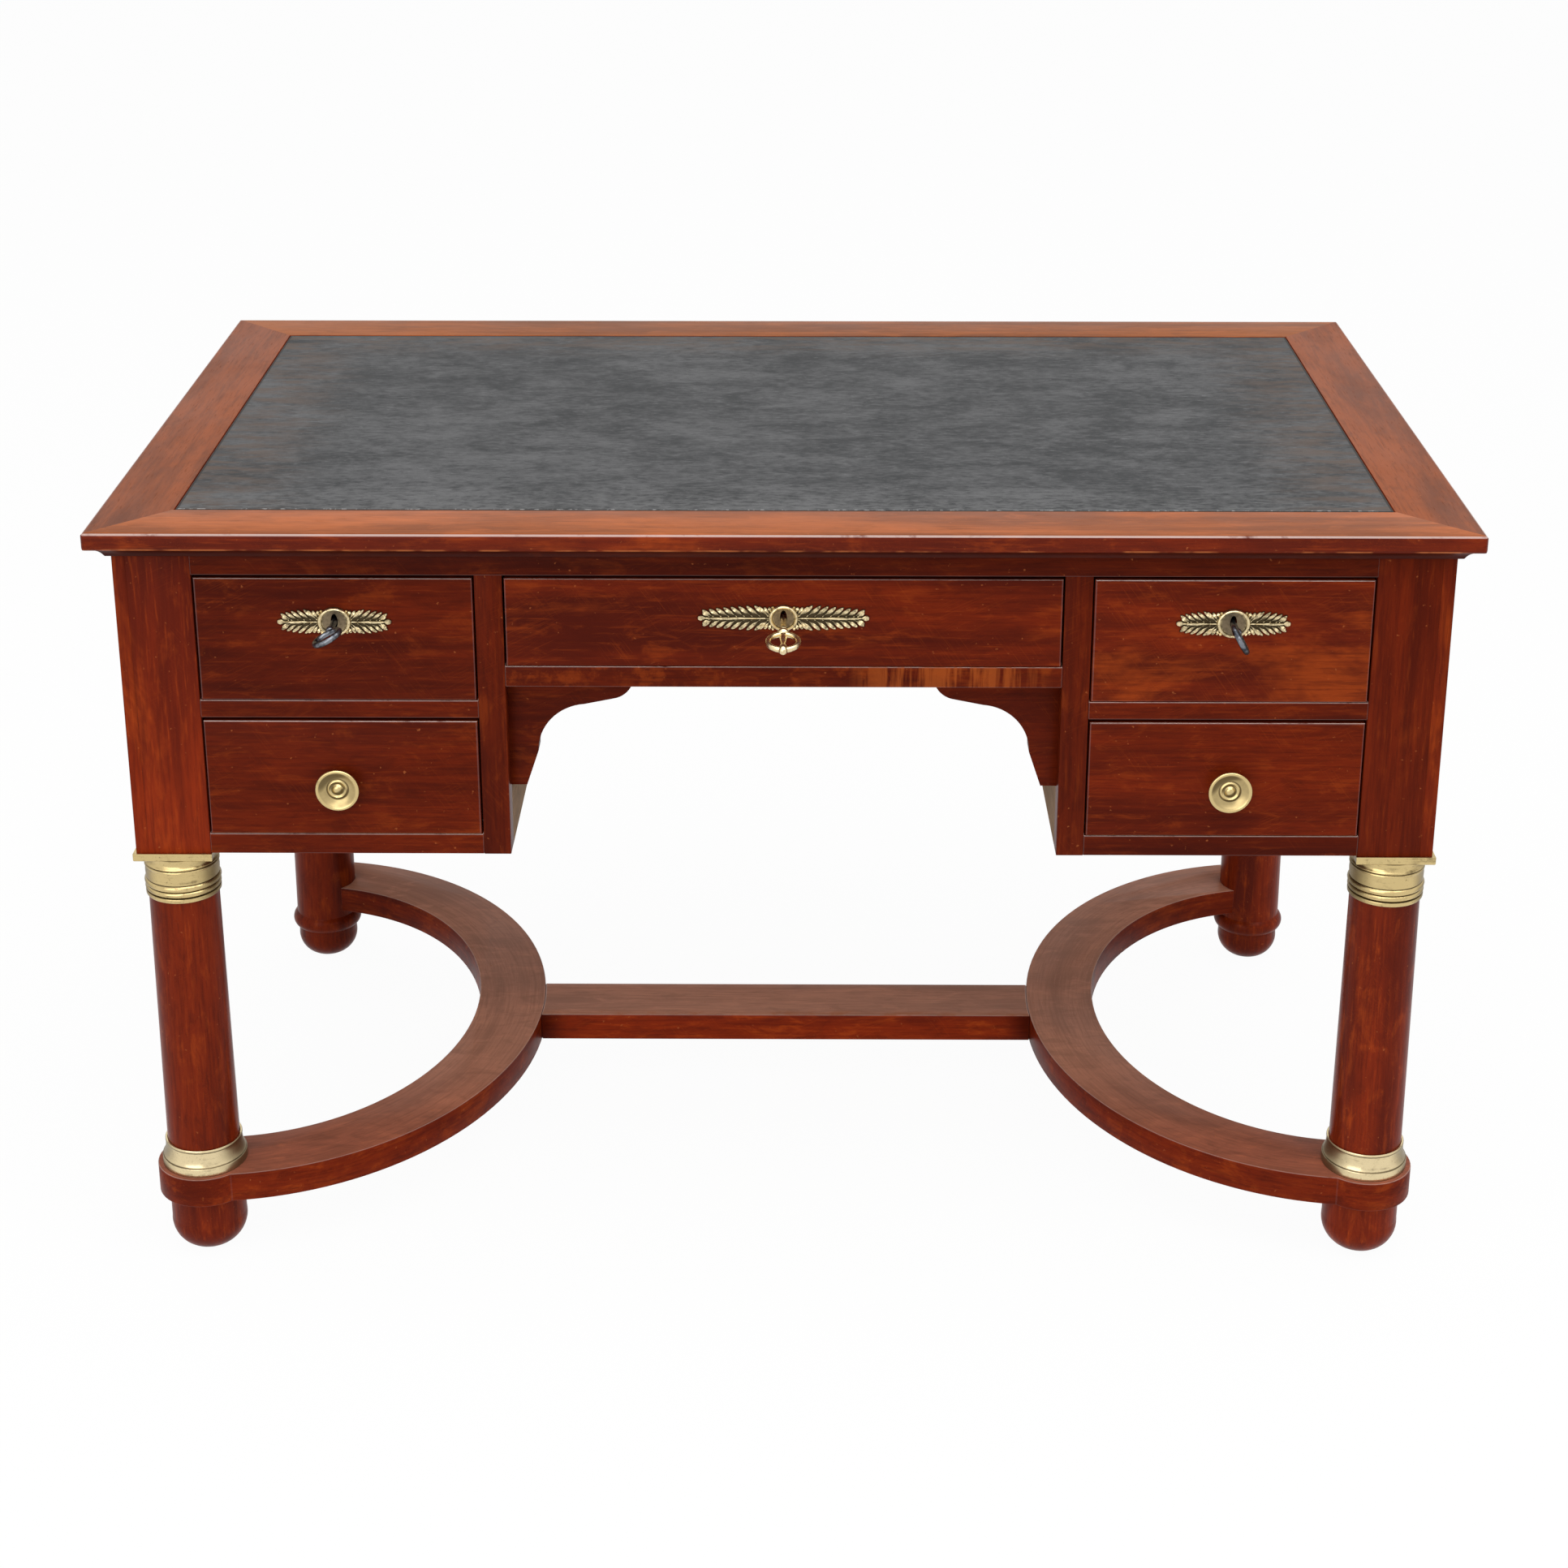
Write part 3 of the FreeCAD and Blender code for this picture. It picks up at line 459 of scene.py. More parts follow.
def pick(*pieces):
    """Select some pieces and no others, the first of them active."""
    for item in bpy.context.selected_objects:
        item.select_set(False)
    for piece in pieces:
        piece.select_set(True)
    bpy.context.view_layer.objects.active = pieces[0]


def select_parts(piece, kind, wanted):
    """Select the points, edges or faces of a piece in edit mode that are wanted, and no others."""
    bpy.ops.mesh.select_mode(type=kind)
    bpy.ops.mesh.select_all(action="DESELECT")
    mesh = bmesh.from_edit_mesh(piece.data)
    for part in {"VERT": mesh.verts, "EDGE": mesh.edges, "FACE": mesh.faces}[kind]:
        part.select_set(wanted(part))
    mesh.select_flush_mode()
    bmesh.update_edit_mesh(piece.data)


def is_sharp(edge):
    return len(edge.link_faces) == 2 and edge.calc_face_angle() > radians(28)


def stand_for(piece, node):
    """Let a piece replace a CAD node, on the node's body."""
    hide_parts(node)
    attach(piece, BODY_OF[node])


def dressed_copy(node):
    """A copy of a CAD node's mesh in an object of its own, merged and with flat faces made whole."""
    piece = bpy.data.objects.new(f"{node}_dressed", frame["nodes"][node].data.copy())
    bpy.context.scene.collection.objects.link(piece)
    pick(piece)
    piece.data.materials.clear()
    edit()
    bpy.ops.mesh.customdata_custom_splitnormals_clear()
    bpy.ops.mesh.select_all(action="SELECT")
    bpy.ops.mesh.remove_doubles(threshold=MERGING)
    bpy.ops.mesh.dissolve_limited(angle_limit=radians(0.5))
    return piece


def dress(node, finish, worn, arris, shortest=3 * MM, keep=lambda edge: True, also=None):
    """Round a board's arrises and give them, and the faces that also() wants, a finish of their own."""
    piece = dressed_copy(node)
    piece.data.materials.append(finish)
    piece.data.materials.append(worn)
    select_parts(piece, "EDGE", lambda edge: is_sharp(edge) and edge.calc_length() > shortest and keep(edge))
    bpy.ops.mesh.bevel(offset=arris, segments=2, clamp_overlap=True, material=1)
    if also:
        select_parts(piece, "FACE", also)
        piece.active_material_index = 1
        bpy.ops.object.material_slot_assign()
    edit(False)
    bpy.ops.object.shade_smooth_by_angle(angle=radians(35))
    stand_for(piece, node)


def mahogany_tones(depth):
    """The case's dark, body and warm tones, paler with more depth."""
    colours = finishes()
    return [shaded(tone, depth)
            for tone in (colours.mahogany_dark, colours.mahogany_red, colours.mahogany_warm)]


def upper_tones(finish, low, high, share=1):
    """One set of tones on faces that look up, by a share, and another elsewhere."""
    upper = finish.rise().step(0.8, 0.96) * share
    return [finish.mix(upper, *pair) for pair in zip(low, high)]


def dust_and_sheen_tones(finish, low):
    """Dust with a painted sheen and painted light on upper faces, more so away from the front, and red elsewhere.
    """
    away = finish.axes()[1].step(-0.3, -0.06)
    high = [shaded(finishes().dusty, share) for share in (0.62, 1, 1.25)]
    return upper_tones(finish, low, high, away * 0.65 + 0.35)


def mahogany(name, along, seed, depth=1, dusty=False, **changes):
    tones = mahogany_tones(depth)
    return wood(name, along, seed, partial(dust_and_sheen_tones, low=tones) if dusty else tones, **changes)


def mahogany_pair(name, along, seed, rubbing=1, **changes):
    """A board's finish and the finish of its arrises, with painted highlights and wear."""
    return (mahogany(name, along, seed, **changes),
            mahogany(f"{name}_arris", along, seed, rubbing=rubbing, shine=0.5 * rubbing, **changes))


class DESK_OT_top_border(bpy.types.Operator):
    """Dress the moulded border of the top"""
    bl_idname = "desk.top_border"
    bl_label = "Top border"

    def execute(self, context):
        for along, words in (("x", ("front", "back")), ("y", SIDES)):
            for seed, word in enumerate(words):
                node = f"top_border_{word}"
                plain = wood(f"border_{word}_wood", along, 3 + seed, partial(self.tones, word=word),
                             gloss=0.36, face="z", shine=0.08,
                             marks=partial(self.edge_lines, top=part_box(node)[1][2]))
                dress(node, plain, plain, sizes().arris, shortest=100 * MM)
        return {"FINISHED"}

    def tones(self, finish, word):
        """Faded on the upper face, red as the case below."""
        colours = finishes()
        faded = {"front": colours.faded_front, "back": colours.faded_back}.get(word, colours.faded_side)
        return upper_tones(finish, mahogany_tones(1.35), [shaded(faded, share) for share in (0.45, 1, 1.2)])

    def edge_lines(self, finish, top):
        """A pale line along the upper arris of the nose as a painted highlight, a warm worn one along the lower,
        and painted shade in the cove.
        """
        colours = finishes()
        height = finish.axes()[2]
        rise = finish.rise()
        rubbed = finish.place.noise(38, 4, 0.7).step(0.24, 0.46)
        broken = finish.scaled((1, 1, 0)).noise(26, 3, 0.6).step(0.42, 0.58)
        upper = rise.step(0.5, 0.66) * rise.step(0.92, 0.82)
        lower = rise.step(-0.2, -0.4) * rise.step(-0.96, -0.85)
        foot = top - sizes().nose
        cove = height.step(foot + 0.4 * MM, foot - 0.6 * MM)
        # Painted shade in the cove, a painted highlight on the upper arris, and wear on the lower.
        return [(cove * 0.75, shaded(colours.mahogany_dark, 0.5)), (upper * rubbed * 0.64, colours.rubbed),
                (lower * broken * (1 - cove) * 0.8, colours.wear)]


class DESK_OT_case(bpy.types.Operator):
    """Dress the posts, panels, rails and brackets of the case"""
    bl_idname = "desk.case"
    bl_label = "Case"

    def execute(self, context):
        size = sizes()
        for seed, side in enumerate(SIDES):
            post = mahogany(f"post_{side}_wood", "z", 11 + seed, depth=1.8 - 0.7 * seed,
                            warm_share=0.55 - 0.25 * seed, hairs=0.04, unrest=0.5)
            dress(f"front_post_{side}", post, post, size.joint)
            panel = mahogany(f"side_panel_{side}_wood", "y", 21 + seed, face="x")
            edging = mahogany(f"edging_{side}_wood", "z", 11 + seed, depth=1.7 - 0.3 * seed, warm_share=0.6,
                              hairs=0.04, unrest=0.5)
            dress(f"side_panel_{side}", panel, edging, size.joint, also=lambda face: abs(face.normal.y) > 0.9)
        upright = mahogany("stile_wood", "z", 31, depth=0.88, warm_share=0.3)
        for node in ("rear_posts", "inner_stiles"):
            dress(node, upright, upright, size.joint)
        # The top rail is made darker as painted shade under the overhang of the top.
        depths = {"top_rail": 0.72, "middle_rails": 1, "bottom_rails": 0.95, "corbels": 0.95}
        for seed, (node, depth) in enumerate(depths.items()):
            level = mahogany_pair(f"{node}_wood", "x", 41 + seed, depth=depth, warm_share=0.3)
            dress(node, *level, size.fine_arris)
        apron = mahogany_pair("apron_wood", "x", 47, depth=0.9, warm_share=0.4, mottle=0.5,
                              marks=self.apron_marks)
        dress("apron_rail", *apron, size.fine_arris)
        return {"FINISHED"}

    def apron_marks(self, finish):
        """A place rubbed through to bright wood right of the middle, with dark streaks left standing."""
        x = finish.axes()[0]
        streaks = finish.scaled((120, 1, 9)).noise(1, 4, 0.6)
        rubbed = x.step(0.05, 0.1) * x.step(0.25, 0.2) * streaks.step(0.42, 0.58)
        return [(rubbed * 0.75, finishes().rubbed_apron)]


class DESK_OT_drawer_fronts(bpy.types.Operator):
    """Dress the drawer fronts"""
    bl_idname = "desk.drawer_fronts"
    bl_label = "Drawer fronts"

    def execute(self, context):
        tones = {"upper_left": (0.98, 0.3), "upper_right": (1.36, 0.8), "lower_left": (0.95, 0.4),
                 "lower_right": (1.13, 0.5), "centre": (1.22, 0.4)}
        for seed, (word, (depth, share)) in enumerate(tones.items()):
            node = f"{word}_drawer_front"
            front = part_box(node)[0][1]
            pair = mahogany_pair(f"{word}_drawer_wood", "x", 51 + 3 * seed, depth=depth, warm_share=share)
            dress(node, *pair, sizes().arris, shortest=50 * MM,
                  keep=lambda edge: all(abs(vert.co.y - front) < 0.5 * MM for vert in edge.verts))
        return {"FINISHED"}


class DESK_OT_inside(bpy.types.Operator):
    """Finish the unpolished boards inside, behind and below"""
    bl_idname = "desk.inside"
    bl_label = "Inside"

    def execute(self, context):
        raw = finishes().raw_wood
        tones = (shaded(raw, 0.55), raw, shaded(raw, 1.15))
        lengthwise = wood("raw_boards", "y", 71, tones, gloss=0.62)
        across = wood("raw_backs", "x", 73, tones, gloss=0.62)
        for node in frame["nodes"]:
            if node.endswith("_box") or node in ("drawer_runners", "drawer_guides", "bottom_boards"):
                paint(node, lengthwise)
        for node in ("top_panel", "back_panels", "back_apron"):
            paint(node, across)
        for side in SIDES:
            paint(f"inner_panel_{side}", lengthwise)
        return {"FINISHED"}


class DESK_OT_legs(bpy.types.Operator):
    """Finish the columns and feet and dress the stretchers"""
    bl_idname = "desk.legs"
    bl_label = "Legs"

    def execute(self, context):
        size = sizes()
        round_wood = partial(mahogany, along="z", warm_share=0.5, shine=0.06, unrest=1.1)
        for seed, side in enumerate(SIDES):
            column = round_wood(f"column_{side}_wood", seed=81 + seed, depth=1.3 + 0.3 * seed, gloss=0.26)
            paint(f"front_column_{side}", column)
            paint(f"rear_column_{side}", column)
            curve = mahogany_pair(f"stretcher_{side}_wood", "x", 91 + seed, depth=1.3, face="z", dusty=True,
                                  rubbing=0.35, warm_share=0.6, unrest=1.3,
                                  space=partial(curved_space, side=side, seed=7 + seed))
            dress(f"stretcher_{side}", *curve, size.arris)
        paint("front_feet", round_wood("feet_wood", seed=87, depth=1.75, gloss=0.3))
        bar = mahogany_pair("bar_wood", "x", 97, depth=1.9, warm_share=0.4, dusty=True, rubbing=0.5,
                            unrest=1.3, marks=self.bar_marks)
        dress("stretcher_bar", *bar, size.arris)
        return {"FINISHED"}

    def bar_marks(self, finish):
        """Worn along the front edge of the top, and painted shade down in the corners at the ends."""
        low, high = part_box("stretcher_bar")
        x, y, _ = finish.axes()
        upper = finish.rise().step(0.2, 0.6)
        worn = finish.scaled((1, 2, 0)).noise(24, 4, 0.7).step(0.48, 0.66)
        edge = y.step(low[1] + 16 * MM, low[1]) * upper
        ends = abs(x).step(high[0] - 34 * MM, high[0] - 4 * MM)
        # Painted shade darkens the ends where the bar meets the curved stretchers.
        return [(edge * worn * 0.6, finishes().wear),
                (ends * (1 - upper) * 0.75, finishes().mahogany_dark)]


# Leather

class DESK_OT_leather(bpy.types.Operator):
    """Finish the leather lining of the top"""
    bl_idname = "desk.leather"
    bl_label = "Leather"

    def execute(self, context):
        colours = finishes()
        finish = Finish("lining_leather")
        low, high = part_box("leather_inset")
        x, y, _ = finish.axes()
        from_side = high[0] - abs(x)
        from_back = high[1] - y
        from_front = y - low[1]
        strokes = finish.scaled((1, 2.4, 1)).noise(80, 6, 0.7, 0.3)
        patches = finish.scaled((1, 1.8, 1), (3, 0, 0)).noise(14, 6, 0.66, 0.4)
        dashes = finish.scaled((1, 3, 1), (5, 0, 0)).noise(110, 3, 0.6)
        clouds = finish.place.noise(5, 4, 0.6)
        dots = finish.scaled((1, 0.4, 1)).noise(210, 2, 0.6).step(0.52, 0.66)
        worn_front = from_front.step(100 * MM, 0) * strokes.step(0.35, 0.6)
        edge = finish.maximum(from_side.step(130 * MM, 0), from_back.step(100 * MM, 0))
        brown = finish.scaled((1, 4, 1)).noise(17, 5, 0.65).step(0.4, 0.64)
        # Painted shade along the gap between the leather and the border.
        rim = from_side.step(2.4 * MM, 1.2 * MM)
        for away, wide in ((from_back, 2), (from_front, 1.8)):
            rim = finish.maximum(rim, away.step(wide * MM, 1 * MM))
        tone = (strokes * 0.45 + patches * 0.35 + clouds * 0.2).step(0.4, 0.61)
        colour = finish.painted(finish.mix(tone, colours.leather, colours.leather_pale), [
            (dashes.step(0.6, 0.74) * 0.4, colours.leather_glint),
            (dashes.step(0.42, 0.28) * 0.45, colours.leather),
            (worn_front * 0.35, colours.leather_worn),
            (edge * brown * 0.75, colours.leather_brown),
            (dots * from_front.step(4.2 * MM, 2.2 * MM) * 0.6, colours.leather_dots),
            (rim * 0.9, colours.leather_rim)])
        pebble = finish.node("ShaderNodeTexVoronoi", {"feature": "DISTANCE_TO_EDGE"},
                             {"Vector": finish.place, "Scale": 900})
        paint("leather_inset", finish.set(
            base_color=colour, roughness=0.5 + strokes.step(0.3, 0.8) * 0.12, specular_ior_level=0.14,
            normal=finish.bump(pebble * 0.5 + strokes, 0.22, 0.8 * MM)))
        return {"FINISHED"}


# Metalwork

def aged_brass(name, dark_share=0.5, gloss=0.24, grooves=(), level=0, pale=False):
    """Brass turned and polished: tarnished clouds, dark spots, dirty grooves at heights from a level, and, with
    grooves, a painted dark reflection on the sides.
    """
    colours = finishes()
    finish = Finish(name)
    clouds = finish.place.noise(60, 5, 0.68)
    spots = finish.place.noise(420, 3, 0.6)
    lines = finish.scaled((1, 1, 24)).noise(22, 3, 0.55)
    darkest = 0.8 - 0.2 * dark_share
    tarnish_and_dark_reflection = (clouds * 0.6 + lines * 0.4).step(darkest - 0.2, darkest) * 0.7
    height = finish.axes()[2]
    for groove in grooves:
        near = abs(height - (level + groove * MM) + (spots - 0.5) * (0.5 * MM))
        tarnish_and_dark_reflection = finish.maximum(tarnish_and_dark_reflection, near.step(1 * MM, 0.2 * MM) * 0.9)
    # Painted dark reflection: faces turned to the left and right are darkened, as on polished brass mirroring a
    # dark room.
    if grooves:
        aside = abs(finish.normal()[0])
        tarnish_and_dark_reflection = finish.maximum(tarnish_and_dark_reflection, (aside + clouds * 0.25).step(0.55, 1.08) * 0.72)
    colour = finish.painted(colours.brass_pale if pale else colours.brass, [
        (tarnish_and_dark_reflection, colours.brass_dark), (spots.step(0.6, 0.76) * 0.5, colours.brass_dark)])
    roughness = gloss + tarnish_and_dark_reflection * 0.26 + spots.step(0.5, 0.8) * 0.08
    return finish.metal(colour, roughness, clouds + spots * 0.3 + lines * 0.3, 0.14, 0.8 * MM)


def reach_from(finish, centre):
    """How far the place on the object is from an axis that runs to the front through a centre."""
    x, _, z = finish.axes()
    return ((x - centre[0]) ** 2 + (z - centre[2]) ** 2) ** 0.5


def knob_brass(name, centre):
    """Brass tarnished down in the grooves round a centre, darker in the bowl and towards the drawer, with painted
    shade on the side that faces down and to the right.
    """
    colours = finishes()
    finish = Finish(name)
    reach = reach_from(finish, centre)
    depth = finish.axes()[1] - centre[1]
    clouds = finish.place.noise(120, 4, 0.6)
    bowl = reach.step(17.6 * MM, 16.4 * MM) * reach.step(9 * MM, 11 * MM)
    aside, _, rise = finish.normal()
    # Painted shade: faces inside the rim that look down and to the right are darkened.
    shade = (aside * 0.5 - rise * 0.85).step(0.02, 0.38) * reach.step(17.9 * MM, 17 * MM)
    dirt_and_shade = [bowl * (clouds * 0.5 + 0.05), shade * 0.8, depth.step(-12 * MM, -9 * MM) * 0.7]
    for groove, half in KNOB_GROOVES:
        away = abs(reach - groove * MM)
        dirt_and_shade.append(away.step(half * MM, 0.3 * half * MM) * 0.8)
    dark = reduce(finish.maximum, dirt_and_shade, clouds.step(0.58, 0.76) * 0.4)
    colour = finish.mix(dark, colours.brass, colours.brass_dark)
    return finish.metal(colour, 0.24 + dark * 0.2, clouds, 0.08)


def leaf_brass(name, centre, ring):
    """Brass that darkens down in the hollows of the leaf, and is dull inside the ring."""
    colours = finishes()
    finish = Finish(name)
    clouds = finish.place.noise(300, 4, 0.6)
    reach = reach_from(finish, centre)
    edge = ring[1] * MM
    leaf = reach.step(edge - 2.6 * MM, edge - 1.6 * MM)
    inside = reach.step(edge - 1.4 * MM, edge - 2.4 * MM)
    depth = finish.axes()[1] - centre[1] + clouds * (0.8 * MM)
    hollow = depth.step(-1.8 * MM, -0.8 * MM) * (leaf * 0.7 + 0.3)
    colour = finish.painted(colours.brass_pale, [
        (hollow * 0.95, shaded(colours.brass_dark, 0.5)),
        (clouds.step(0.48, 0.66) * 0.6, colours.brass_dark),
        (inside * 0.85, finish.mix(clouds, colours.dish, colours.dish_dark))])
    return finish.metal(colour, 0.3 + hollow * 0.25, clouds, 0.15)


def grey_steel(name):
    finish = Finish(name)
    clouds = finish.place.noise(160, 4, 0.6)
    colour = finish.mix(clouds.step(0.42, 0.62) * 0.85, finishes().steel, finishes().steel_dark)
    return finish.metal(colour, 0.26 + clouds * 0.15, clouds, 0.12)


# Modelling by hand: a lathe, a ring and a few moves

def new_piece(name):
    """The object just added, alone and in edit mode with all of it selected."""
    piece = bpy.context.active_object
    piece.name = name
    edit()
    bpy.ops.mesh.select_mode(type="VERT")
    bpy.ops.mesh.select_all(action="SELECT")
    return piece


def close_up():
    """Merge the seam, turn the faces outwards and leave edit mode, smooth."""
    bpy.ops.mesh.select_all(action="SELECT")
    bpy.ops.mesh.remove_doubles(threshold=MERGING)
    bpy.ops.mesh.normals_make_consistent()
    edit(False)
    bpy.ops.object.shade_smooth_by_angle(angle=radians(40))


def lathe(name, profile, steps=48, middle=0):
    """Turn a profile of (radius, height) points in millimetres, radii from middle, about the Z axis."""
    bpy.ops.mesh.primitive_plane_add(size=MM)
    piece = new_piece(name)
    bpy.ops.mesh.merge(type="CENTER")
    points = [Vector((middle + radius, 0, height)) * MM for radius, height in profile]
    bpy.ops.transform.translate(value=points[0])
    for before, after in zip(points, points[1:]):
        bpy.ops.mesh.extrude_region_move(TRANSFORM_OT_translate={"value": after - before})
    bpy.ops.mesh.select_all(action="SELECT")
    bpy.ops.mesh.spin(steps=steps, angle=2 * pi, center=(0, 0, 0), axis=(0, 0, 1))
    close_up()
    return piece


def hoop(name, radius, wire):
    """A round wire ring in the XZ plane, its middle at the origin."""
    bpy.ops.mesh.primitive_circle_add(vertices=12, radius=wire * MM, location=(radius * MM, 0, 0))
    piece = new_piece(name)
    bpy.ops.mesh.spin(steps=40, angle=2 * pi, center=(0, 0, 0), axis=(0, 1, 0))
    close_up()
    bpy.ops.object.transform_apply()
    return piece


def set_down(piece, matrix):
    """Put a piece in its place and keep the place in its mesh."""
    pick(piece)
    piece.matrix_world = matrix
    bpy.ops.object.transform_apply()
    if matrix.determinant() < 0:
        edit()
        bpy.ops.mesh.select_all(action="SELECT")
        bpy.ops.mesh.flip_normals()
        edit(False)


def copied(piece):
    """A copy with its own mesh."""
    twin = piece.copy()
    twin.data = piece.data.copy()
    bpy.context.scene.collection.objects.link(twin)
    return twin


def joined(name, pieces, material):
    """Several pieces as one object with one finish."""
    for piece in pieces:
        piece.data.materials.clear()
    pick(*pieces)
    if len(pieces) > 1:
        bpy.ops.object.join()
    whole = bpy.context.active_object
    whole.name = name
    whole.data.materials.append(material)
    return whole


def install(node, ending, pieces, material, matrix=Matrix()):
    """Join pieces, put them in their place and let them replace a CAD node."""
    whole = joined(f"{node}_{ending}", pieces, material)
    set_down(whole, matrix)
    stand_for(whole, node)


def remove(*pieces):
    for piece in pieces:
        bpy.data.objects.remove(piece)


# Turned profiles, as radius and height in millimetres, and the grooves that hold dirt

CAPITAL_PROFILE = [
    (26.2, -7.9), (35.6, -7.9), (35, -9.4), (33.9, -11.6), (33.4, -14.2), (33.8, -16.6), (34.9, -17.6),
    (35.3, -18.6), (34.9, -19.5), (34.2, -20), (34.9, -20.6), (35.2, -21.6), (34.7, -22.6), (34.4, -23.4),
    (34.8, -28), (34.5, -34.6), (33.8, -35.2), (34.6, -35.8), (35.8, -37.4), (36, -38.8), (35.6, -40.4),
    (34.4, -41.4), (33.7, -41.8), (34.6, -42.3), (35.5, -43.8), (35.6, -45), (35.1, -46.6), (34, -47.4),
    (33.5, -47.9), (35, -48.3), (35.4, -49), (35.2, -51.8), (34.7, -52.4), (26.2, -52.4), (26.2, -7.9)]
CAPITAL_GROOVES = (-8.4, -20, -35.2, -41.8, -47.9)
BASE_RADIUS = 41
BASE_PROFILE = [
    (35.4, 0), (BASE_RADIUS, 0), (BASE_RADIUS, 7.8), (40.7, 8.7), (40, 9.2), (39.4, 10.2),
    (38.3, 13), (37.5, 16.5), (37.1, 20.5), (37, 24), (37.3, 24.8), (37.3, 26.2), (36.8, 26.9),
    (35.4, 26.9), (35.4, 0)]
BASE_GROOVES = (0, 9.2, 24.3)
KNOB_PROFILE = [
    (0, -1), (10, -1), (10, 1.6), (9.2, 3), (7.6, 4), (7.2, 7), (8, 9), (12, 10),
    (17, 10.8), (19.4, 11.9), (20.4, 13.4), (20.3, 14.8), (19.6, 15.7), (18.6, 16), (17.6, 15.6),
    (15.6, 14.2), (13.4, 12.8), (11.4, 11.9), (10, 11.5), (9.3, 11.9), (8.6, 12.6), (7.9, 12.8),
    (7.2, 12.4), (6.4, 11.7), (5.4, 11.5), (4.6, 12), (4, 13), (2.8, 13.9), (1.4, 14.3), (0, 14.4)]
KNOB_GROOVES = ((5.6, 1), (10, 1.1))
RING_PROFILE = [(-1.9, 0), (-1.9, 1.8), (-1.5, 2.9), (-0.8, 3.6), (0, 3.9), (0.8, 3.6), (1.4, 2.9),
                (1.8, 1.6), (1.8, 0), (-1.9, 0)]
SHANK_PROFILE = [(0, -12.2), (2.7, -12.2), (2.75, 20), (3, 24)]
SIDE_KEY_PROFILE = SHANK_PROFILE + [(4, 27), (4.4, 29), (4, 31), (2.8, 33), (0, 34)]
CENTRE_KEY_PROFILE = SHANK_PROFILE + [
    (3.6, 25), (3, 26), (5, 27.6), (5.6, 29.6), (5, 31.6), (3.2, 33), (2.8, 35), (3.6, 38),
    (2.6, 44), (2.2, 48), (2.8, 50), (3.9, 52.6), (4.3, 56), (3.9, 59), (2.4, 61), (0, 61.8)]


class DESK_OT_mounts(bpy.types.Operator):
    """Turn the brass capitals under their square plates, and the base rings"""
    bl_idname = "desk.mounts"
    bl_label = "Brass mounts"

    def execute(self, context):
        self.make_capitals()
        self.make_base_rings()
        return {"FINISHED"}

    def make_capitals(self):
        sleeve = lathe("sleeve", CAPITAL_PROFILE, steps=64)
        plate = self.plate(side=74 * MM, thick=8 * MM, rim=10.6 * MM, chamfer=1.8 * MM)
        for side in SIDES:
            node = f"capital_{side}"
            place = middle(node)
            place.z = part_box(node)[1][2]
            brass = aged_brass(f"{node}_brass", gloss=0.22, grooves=CAPITAL_GROOVES, level=place.z)
            install(node, "turned", [copied(sleeve), copied(plate)], brass, Matrix.Translation(place))
        remove(sleeve, plate)

    def make_base_rings(self):
        ring = lathe("base_ring", BASE_PROFILE, steps=64)
        low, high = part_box("base_rings")
        pair = []
        for x in (low[0] + BASE_RADIUS * MM, high[0] - BASE_RADIUS * MM):
            twin = copied(ring)
            set_down(twin, Matrix.Translation((x, (low[1] + high[1]) / 2, low[2])))
            pair.append(twin)
        brass = aged_brass("base_ring_brass", dark_share=0.3, gloss=0.22, grooves=BASE_GROOVES, level=low[2],
                           pale=True)
        install("base_rings", "turned", pair, brass)
        remove(ring)

    def plate(self, side, thick, rim, chamfer):
        """The square plate over a capital, open in the middle and chamfered below."""
        bpy.ops.mesh.primitive_cube_add(size=side)
        piece = new_piece("plate")
        bpy.ops.transform.resize(value=(1, 1, thick / side))
        bpy.ops.transform.translate(value=(0, 0, -thick / 2))
        select_parts(piece, "FACE", lambda face: abs(face.normal.z) > 0.5)
        bpy.ops.mesh.inset(thickness=rim)
        bpy.ops.mesh.bridge_edge_loops()
        select_parts(piece, "EDGE", lambda edge: all(
            abs(vert.co.z + thick) < MERGING and max(abs(vert.co.x), abs(vert.co.y)) > side / 2 - MM
            for vert in edge.verts))
        bpy.ops.mesh.bevel(offset=chamfer, segments=3)
        close_up()
        return piece


class DESK_OT_knobs(bpy.types.Operator):
    """Turn the dished brass knobs of the lower drawers"""
    bl_idname = "desk.knobs"
    bl_label = "Knobs"

    def execute(self, context):
        knob = lathe("knob", KNOB_PROFILE)
        for side in SIDES:
            node = f"knob_{side}"
            centre = middle(node)
            centre.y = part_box(f"lower_{side}_drawer_front")[0][1]
            brass = knob_brass(f"{node}_brass", centre)
            install(node, "turned", [copied(knob)], brass, Matrix.Translation(centre) @ FACING)
        remove(knob)
        return {"FINISHED"}


